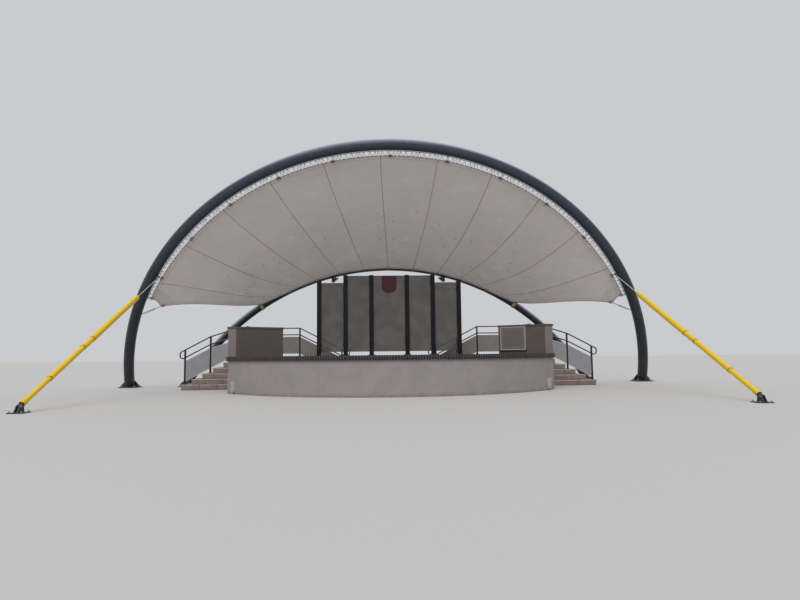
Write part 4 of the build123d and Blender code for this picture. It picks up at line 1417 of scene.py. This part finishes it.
@dataclass
class Balustrades:
    """Edge profiles and clamps of the panels, and foot plates with bolts under the posts."""

    palette: Palette
    foot_x: float = 7.05
    post_inset: float = 0.06
    end_in: float = 0.12
    stair_y: float = FLANK_Y + post_inset
    rear_start: float = FLANK_Y + FLANK_DEPTH + post_inset
    rear_y: float = 2.14
    turn_x: float = WELL_X + 0.03
    end_x: float = WELL_X - TREADS * GOING + end_in
    stair_panel_foot: float = 0.045
    stair_panel_top: float = 0.71
    upper_slope: float = 0.3
    panel_foot: float = 0.1
    panel_top: float = 0.75
    profile: float = 0.018
    post: float = 0.06

    def build(self, nodes: dict[str, Object]) -> None:
        """Dresses rails and panels, and adds their small parts."""
        rails = [f"{place}_railing_{side}" for place in ("stair", "rear") for side in ("left", "right")]
        dress(nodes, rails, self.palette.rail)
        dress(nodes, ["stair_panels"], self.palette.opal)
        # The rear panels get the lighter opal copy, with painted light shining through.
        dress(nodes, ["rear_panels"], self.palette.backlit_opal)
        self.make_profiles()
        self.make_feet()

    @property
    def post_x(self) -> tuple[float, float, float]:
        """The three posts beside the side steps, from the lowest up."""
        low, top = self.foot_x - self.end_in, PODIUM_SIDE_X - self.post_inset
        return low, (low + top) / 2, top

    def outlines(self) -> list[list[Vector]]:
        """The corners of each panel on the right, in order round it."""
        half = self.post / 2
        low_x, mid_x, side = self.post_x
        found = []
        for outer, inner in ((low_x, mid_x), (mid_x, side)):
            x0, x1 = outer - half, inner + half
            feet = [self.nosing(x) + self.stair_panel_foot for x in (x0, x1)]
            tops = [self.nosing(max(x, mid_x)) + self.stair_panel_top for x in (x0, x1)]
            tops = [z + max(0.0, mid_x - x) * self.upper_slope for x, z in zip((x0, x1), tops)]
            corners = ((x0, feet[0]), (x1, feet[1]), (x1, tops[1]), (x0, tops[0]))
            found.append([Vector((x, self.stair_y, z)) for x, z in corners])
        start, back = self.rear_start + half / 2, self.rear_y - half / 2
        foot, top = FLOOR_Z + self.panel_foot, FLOOR_Z + self.panel_top
        corners = ((start, foot), (back, foot), (back, top), (start, top))
        found.append([Vector((side, y, z)) for y, z in corners])
        found.append(self.quad(self.turn_x + half, side - half, FLOOR_Z, FLOOR_Z))
        fall = (FLOOR_Z - RISER - self.end_in * RISER / GOING) / (self.turn_x - self.end_x)
        middle = (self.turn_x + self.end_x) / 2
        for outer, inner in ((self.turn_x, middle), (middle, self.end_x)):
            x0, x1 = outer - half, inner + half
            bases = [FLOOR_Z - (self.turn_x - x) * fall for x in (x0, x1)]
            found.append(self.quad(x0, x1, *bases))
        return found

    def nosing(self, x: float) -> float:
        """Height of the side steps' nosing line."""
        return RISER + (self.foot_x - x) * RISER / GOING

    def quad(self, x0: float, x1: float, base0: float, base1: float) -> list[Vector]:
        """The corners of a rear panel along X, 100 to 750 mm above a line."""
        foot, top = self.panel_foot, self.panel_top
        corners = ((x0, base0 + foot), (x1, base1 + foot), (x1, base1 + top), (x0, base0 + top))
        return [Vector((x, self.rear_y, z)) for x, z in corners]

    def make_profiles(self) -> None:
        """The bright profiles round every panel and four clamps that hold it to its posts."""
        bm = bmesh.new()
        clamps = bmesh.new()
        half = self.profile / 2
        for side in Side:
            for corners in self.outlines():
                points = [side.mirror @ p for p in corners]
                for start, end in zip(points, points[1:] + points[:1]):
                    long = (end - start).length / 2 + half * 0.5
                    box_at(bm, (-half, -half, -long), (half, half, long), 0.002, along(start, end))
                ends = ((points[0], points[3], points[1]), (points[1], points[2], points[0]))
                for low, high, other in ends:
                    out = (low - other).normalized()
                    across = out.cross(UP).normalized()
                    for share in (0.2, 0.8):
                        spot = low.lerp(high, share) + out * 0.002
                        rod(clamps, spot - across * 0.014, spot + across * 0.014, 0.022, 14)
        finish_piece(bm, "panel_edge_profiles", self.palette.frame)
        finish_piece(clamps, "panel_clamps", self.palette.zinc)

    def make_feet(self) -> None:
        """Foot plates with four bolts under the posts."""
        low_x, mid_x, top_x = self.post_x
        middle_x = (self.turn_x + self.end_x) / 2
        middle_z = FLOOR_Z - RISER * (1 + int((WELL_X - middle_x) // GOING))
        feet = [(x, self.stair_y, z) for x, z in ((low_x, RISER), (mid_x, 3 * RISER), (top_x, FLOOR_Z))]
        feet.append((top_x, self.rear_start, FLOOR_Z))
        rear = ((top_x, FLOOR_Z), (self.turn_x, FLOOR_Z), (self.end_x, RISER), (middle_x, middle_z))
        feet += [(x, self.rear_y, z) for x, z in rear]
        bm = bmesh.new()
        nuts = bmesh.new()
        half = Vector((0.055, 0.045, 0))
        thick = UP * 0.008
        for side in Side:
            for foot in feet:
                middle = side.mirror @ Vector(foot)
                box_at(bm, middle - half, middle + half + thick, 0.002)
                four_bolts(nuts, middle + thick, 0.042, 0.032, 0.01, 0.024)
        finish_piece(bm, "railing_foot_plates", self.palette.rail)
        finish_piece(nuts, "railing_foot_bolts", self.palette.zinc)


@dataclass
class Screen:
    """Caps, foot bolts and glass clamps of the screen, and the shield's plain rim."""

    palette: Palette
    y: float = 0.67
    posts: tuple[float, ...] = (0.67, 1.64, 2.625)
    tops: tuple[float, ...] = (4.1, 4.1, 3.9)
    size: float = 0.16
    foot_plate: float = 0.015
    bolt_out: float = 0.1
    glass_foot: float = 0.135
    glass_tops: tuple[float, float] = (4.088, 3.82)
    shield_top: float = 4.073
    shield_tip: float = 3.413
    shield_edge: tuple[tuple[float, float], ...] = (
        (0.2775, 3.643), (0.2735, 3.583), (0.2575, 3.538), (0.2025, 3.491), (0.13, 3.458), (0.06, 3.433),
    )

    def build(self, nodes: dict[str, Object]) -> None:
        """Dresses posts, panes and shield, and adds their small parts."""
        dress(nodes, ["screen_posts"], self.palette.post)
        dress(nodes, ["screen_glass"], self.palette.glass)
        dress(nodes, ["shield_plaque"], self.palette.enamel)
        caps = bmesh.new()
        nuts = bmesh.new()
        half = self.size / 2 + 0.004
        for side in Side:
            for x, top in zip(self.posts, self.tops):
                spot = Vector((x * side.value, self.y, top))
                box_at(caps, spot + Vector((-half, -half, -0.003)), spot + Vector((half, half, 0.004)), 0.002)
                foot = Vector((spot.x, self.y, FLOOR_Z + self.foot_plate))
                four_bolts(nuts, foot, self.bolt_out, self.bolt_out, 0.016, 0.04)
        finish_piece(caps, "screen_post_caps", self.palette.post)
        finish_piece(nuts, "screen_foot_bolts", self.palette.zinc)
        self.make_clamps()
        self.make_shield_rim()

    def panes(self) -> list[tuple[float, float, float, float]]:
        """Each pane's two side edges, its foot and its top."""
        half = self.size / 2
        a, b, c = self.posts
        low = FLOOR_Z + self.glass_foot
        tall, short = self.glass_tops
        right = [(a + half, b - half, low, tall), (b + half, c - half, low, short)]
        left = [(-x1, -x0, z0, z1) for x0, x1, z0, z1 in right]
        return [(-a + half, a - half, low, tall), *right, *left]

    def make_clamps(self) -> None:
        """Three screwed clamps on each side of every pane."""
        bm = bmesh.new()
        for x0, x1, z0, z1 in self.panes():
            for x, turn in ((x0, 1), (x1, -1)):
                for share in (0.1, 0.5, 0.9):
                    z = z0 + (z1 - z0) * share
                    xs = sorted((x - turn * 0.002, x + turn * 0.03))
                    box_at(bm, (xs[0], self.y - 0.018, z - 0.02), (xs[1], self.y + 0.018, z + 0.02), 0.003)
                    screw = x + turn * 0.016
                    rod(bm, (screw, self.y - 0.022, z), (screw, self.y - 0.016, z), 0.006, 10)
        finish_piece(bm, "glass_clamps", self.palette.post)

    def make_shield_rim(self) -> None:
        """A plain raised rim along the shield's edge."""
        bm = bmesh.new()
        right = [(self.shield_edge[0][0], self.shield_top), *self.shield_edge, (0.0, self.shield_tip)]
        outline = right + [(-x, z) for x, z in reversed(right[:-1])]
        middle, half = (self.shield_top + self.shield_tip) / 2, (self.shield_top - self.shield_tip) / 2
        inset = 0.02
        scale_x, scale_z = 1 - inset / right[0][0], 1 - inset / half
        front = self.y - 0.008 - 0.022
        points = [Vector((x * scale_x, front, middle + (z - middle) * scale_z)) for x, z in outline]
        for start, end in zip(points, points[1:] + points[:1]):
            rod(bm, start, end, 0.006, 6)
        finish_piece(bm, "shield_rim", self.palette.enamel)


# Guys and floodlights


@dataclass
class Guys:
    """Cable strands, guard pipes that widen upwards, anchor nuts and terminals.

    Each guard pipe has its start and end as shares of the guy from the anchor up, and its outer and
    inner diameter. The photograph shows them wider towards the arch than the plain pipe of the frame.
    """

    palette: Palette
    height: float = 4.6
    anchor: tuple[float, float, float] = (7.8, -9.1, 0.13)
    anchor_plate: float = 0.02
    anchor_spacing: float = 0.25
    lug_inset: float = 0.235
    lug_forward: float = 0.1
    cable: float = 0.022
    lay: float = 0.22
    guard_share: float = 0.763
    pipes: tuple[tuple[float, float, float, float], ...] = (
        (0.0111, 0.0275, 0.13, 0.116), (0.024, 0.146, 0.112, 0.102), (0.14, 0.338, 0.132, 0.115),
        (0.332, 0.4, 0.144, 0.135), (0.394, 0.763, 0.158, 0.147), (0.7585, 0.7625, 0.146, 0.03),
    )

    def build(self, nodes: dict[str, Object]) -> None:
        """Dresses the guys and adds strands, guard pipes, bands, terminals and nuts."""
        dress(nodes, ["guy_cables"], self.palette.wire)
        dress(nodes, ["guy_lugs", "guy_anchors"], self.palette.steel)
        self.make_strands()
        self.make_guards()
        self.make_bands()
        self.make_terminals()

    def ends(self, side: Side) -> tuple[Vector, Vector, Vector]:
        """The lug on the front arch, the eye on the ground anchor and the way from eye to lug."""
        angle = asin((self.height + FRONT.centre_depth) / FRONT.radius)
        lug = side.mirror @ FRONT.point(angle, self.lug_inset, self.lug_forward)
        eye = side.mirror @ Vector(self.anchor)
        return lug, eye, (lug - eye).normalized()

    def make_strands(self) -> None:
        """Six strands twisted round the cable where it is bare."""
        bm = bmesh.new()
        wire = self.cable * 0.19
        for side in Side:
            lug, eye, unit = self.ends(side)
            start = eye.lerp(lug, self.guard_share)
            length = (lug - start).length - 0.12
            frame = Matrix.Translation(start) @ unit.to_track_quat("Z", "Y").to_matrix().to_4x4()
            steps = round(length / self.lay * 10)
            for i in range(6):
                spin = frame @ Matrix.Rotation(2 * pi * i / 6, 4, "Z")
                spot = spin @ Matrix.Translation((self.cable / 2 - wire * 0.4, 0, 0))
                made = bmesh.ops.create_circle(bm, segments=5, radius=wire, matrix=spot)["verts"]
                edges = list({e for v in made for e in v.link_edges})
                bmesh.ops.spin(
                    bm, geom=edges, cent=start, axis=unit, angle=2 * pi * length / self.lay,
                    dvec=unit * length / steps, steps=steps,
                )
        bmesh.ops.recalc_face_normals(bm, faces=bm.faces)
        finish_piece(bm, "guy_cable_strands", self.palette.wire)

    def make_guards(self) -> None:
        """Yellow guard pipes that slide over one another, each wider than the one below it."""
        for side in Side:
            bm = bmesh.new()
            lug, eye, unit = self.ends(side)
            reach = (lug - eye).length
            for low, high, outer, inner in self.pipes:
                self.pipe(bm, eye + unit * reach * low, eye + unit * reach * high, outer / 2, inner / 2)
            name = f"guard_pipes_{side.name.lower()}"
            finish_piece(bm, name, self.palette.guard, ["guy_guards"])

    def pipe(self, bm: BMesh, start: Vector, end: Vector, outer: float, inner: float) -> None:
        """A pipe with rounded rims, made by turning its wall's outline about its axis.

        Args:
            bm: the mesh that is being made.
            start: the middle of its lower end.
            end: the middle of its upper end.
            outer: its outer radius.
            inner: its inner radius.
        """
        frame = along(start, end)
        half = (end - start).length / 2
        rim = min(0.006, (outer - inner) * 0.45)
        wall = [
            (inner, -half + rim), (inner + rim, -half), (outer - rim, -half), (outer, -half + rim),
            (outer, half - rim), (outer - rim, half), (inner + rim, half), (inner, half - rim),
        ]
        verts = [bm.verts.new(frame @ Vector((x, 0, z))) for x, z in wall]
        edges = [bm.edges.new(pair) for pair in zip(verts, verts[1:] + verts[:1])]
        axis = frame.to_3x3() @ UP
        bmesh.ops.spin(
            bm, geom=edges, cent=frame.translation, axis=axis, angle=2 * pi, steps=36, use_merge=True,
        )
        bmesh.ops.recalc_face_normals(bm, faces=bm.faces)

    def make_bands(self) -> None:
        """A dark clamping band with a screw above each joint of the guard."""
        bm = bmesh.new()
        for side in Side:
            lug, eye, unit = self.ends(side)
            turn = unit.orthogonal().normalized().to_track_quat("Z", "Y").to_matrix().to_4x4()
            for low, _, outer, _ in self.pipes[2:5]:
                spot = eye.lerp(lug, low) + unit * 0.03
                radius = outer / 2
                self.pipe(bm, spot - unit * 0.011, spot + unit * 0.011, radius + 0.0015, radius - 0.003)
                frame = Matrix.Translation(spot) @ turn
                box_at(bm, (-0.012, -0.009, radius), (0.012, 0.009, radius + 0.01), 0.002, frame)
        finish_piece(bm, "guard_bands", self.palette.post)

    def make_terminals(self) -> None:
        """The swaged terminals at both ends of the cables, the anchor nuts and the pins' washers."""
        bm = bmesh.new()
        for side in Side:
            lug, eye, unit = self.ends(side)
            rod(bm, lug - unit * 0.26, lug - unit * 0.05, 0.016, 16, 0.021)
            rod(bm, eye + unit * 0.04, eye + unit * 0.2, 0.024, 16, 0.016)
            half = self.anchor_spacing / 2
            four_bolts(bm, Vector((eye.x, eye.y, self.anchor_plate)), half, half, 0.02, 0.034)
            for turn in (-1, 1):
                out = Vector((turn, 0, 0))
                spot = eye + out * 0.044
                rod(bm, spot, spot + out * 0.006, 0.028, 16)
                rod(bm, spot + out * 0.006, spot + out * 0.018, 0.023, 6)
        finish_piece(bm, "guy_terminals", self.palette.zinc)


@dataclass
class Floodlights:
    """Glass, frame and cooling ribs of the two floodlights under the rear arch."""

    palette: Palette
    x: float = 2.12
    width: float = 0.26
    height: float = 0.165
    foot: float = 0.08
    hang: float = 0.03
    ribs: int = 6
    rib_pitch: float = 0.024

    def build(self, nodes: dict[str, Object]) -> None:
        """Dresses the housings and adds the glass, its frame and the ribs."""
        dress(nodes, ["floodlights"], self.palette.steel)
        angle = asin(sqrt(1 - (self.x / REAR.radius) ** 2))
        centre = REAR.point(angle)
        top = centre.z - REAR.tube / 2 / sin(angle) - self.hang
        outer = self.x + self.width / 2
        upper = Vector((self.x - self.width / 2, centre.y, top))
        lower = Vector((outer - self.foot, centre.y, top - self.height))
        half = (lower - upper).length / 2
        down = (lower - upper).normalized()
        turn = Matrix((down, Vector((0, 1, 0)), Vector((down.z, 0, -down.x)))).transposed().to_4x4()
        glass = bmesh.new()
        trim = bmesh.new()
        for side in Side:
            mirror = side.mirror.to_4x4()
            frame = mirror @ Matrix.Translation((upper + lower) / 2) @ turn
            box_at(glass, (-half + 0.014, -0.075, -0.001), (half - 0.014, 0.075, 0.004), 0.001, frame)
            for y in (-0.088, 0.078):
                box_at(trim, (-half, y, -0.001), (half, y + 0.01, 0.007), 0.001, frame)
            for i in range(self.ribs):
                low = Vector((outer - 0.002, centre.y - 0.08, top - 0.02 - i * self.rib_pitch))
                box_at(trim, low, low + Vector((0.014, 0.16, 0.006)), 0.001, mirror)
        for bm in (glass, trim):
            bmesh.ops.recalc_face_normals(bm, faces=bm.faces)
        finish_piece(glass, "floodlight_glass", self.palette.glass)
        finish_piece(trim, "floodlight_ribs", self.palette.steel)


# Studio


@dataclass
class Studio:
    """The pale floor, the soft light and the camera where the photographer stood."""

    spot: tuple[float, float, float] = (-0.42, -21.83, 1.11)
    yaw: float = 2.1
    pitch: float = 5.2
    roll: float = 0.63
    lens: float = 27.0

    def build(self) -> None:
        """Builds floor, light and camera."""
        self.make_camera()
        self.make_floor()
        self.make_light()
        bpy.context.scene.view_settings.view_transform = "Standard"

    def add(self, name: str, data: bpy.types.ID) -> Object:
        """Puts a mesh, light or camera in the scene."""
        placed = bpy.data.objects.new(name, data)
        bpy.context.scene.collection.objects.link(placed)
        return placed

    def make_camera(self) -> None:
        """A 27 mm lens that looks slightly up and to the right."""
        data = bpy.data.cameras.new("photographer")
        data.lens = self.lens
        data.sensor_width = 36.0
        data.clip_end = 400.0
        place = Matrix.Translation(self.spot)
        for angle, axis in ((-self.yaw, "Z"), (90 + self.pitch, "X"), (-self.roll, "Z")):
            place = place @ Matrix.Rotation(radians(angle), 4, axis)
        camera = self.add("photographer", data)
        camera.matrix_world = place
        bpy.context.scene.camera = camera

    def make_floor(self) -> None:
        """A pale plain floor."""
        bm = bmesh.new()
        bmesh.ops.create_circle(bm, cap_ends=True, segments=96, radius=180.0)
        bmesh.ops.translate(bm, verts=bm.verts, vec=(0, 0, -0.002))
        mesh = bpy.data.meshes.new("studio_floor")
        bm.to_mesh(mesh)
        bm.free()
        mesh.materials.append(Recipe("studio_floor", "#c9c7c4", 0.9).done())
        plane = self.add("studio_floor", mesh)

    def make_light(self) -> None:
        """A soft grey sky and one wide sun behind thin cloud."""
        world = bpy.data.worlds.new("studio_sky")
        world.use_nodes = True
        backdrop = world.node_tree.nodes["Background"]
        backdrop.inputs["Color"].default_value = linear("#d8dade")
        backdrop.inputs["Strength"].default_value = 0.85
        bpy.context.scene.world = world
        data = bpy.data.lights.new("cloud_light", "SUN")
        data.energy = 1.5
        data.angle = radians(50)
        self.add("cloud_light", data).rotation_euler = (radians(46), radians(-12), 0)


def main() -> None:
    """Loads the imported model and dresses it."""
    logging.basicConfig(level=logging.INFO, format="%(message)s")
    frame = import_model()
    Studio().build()
    palette = Palette()
    nodes = frame["nodes"]
    for part in (
        Podium(palette), Steps(palette), Balustrades(palette), Screen(palette), Arches(palette),
        Canopy(palette), Guys(palette), Floodlights(palette),
    ):
        part.build(nodes)
        log.info("%s is dressed", type(part).__name__)


if __name__ == "__main__":
    main()
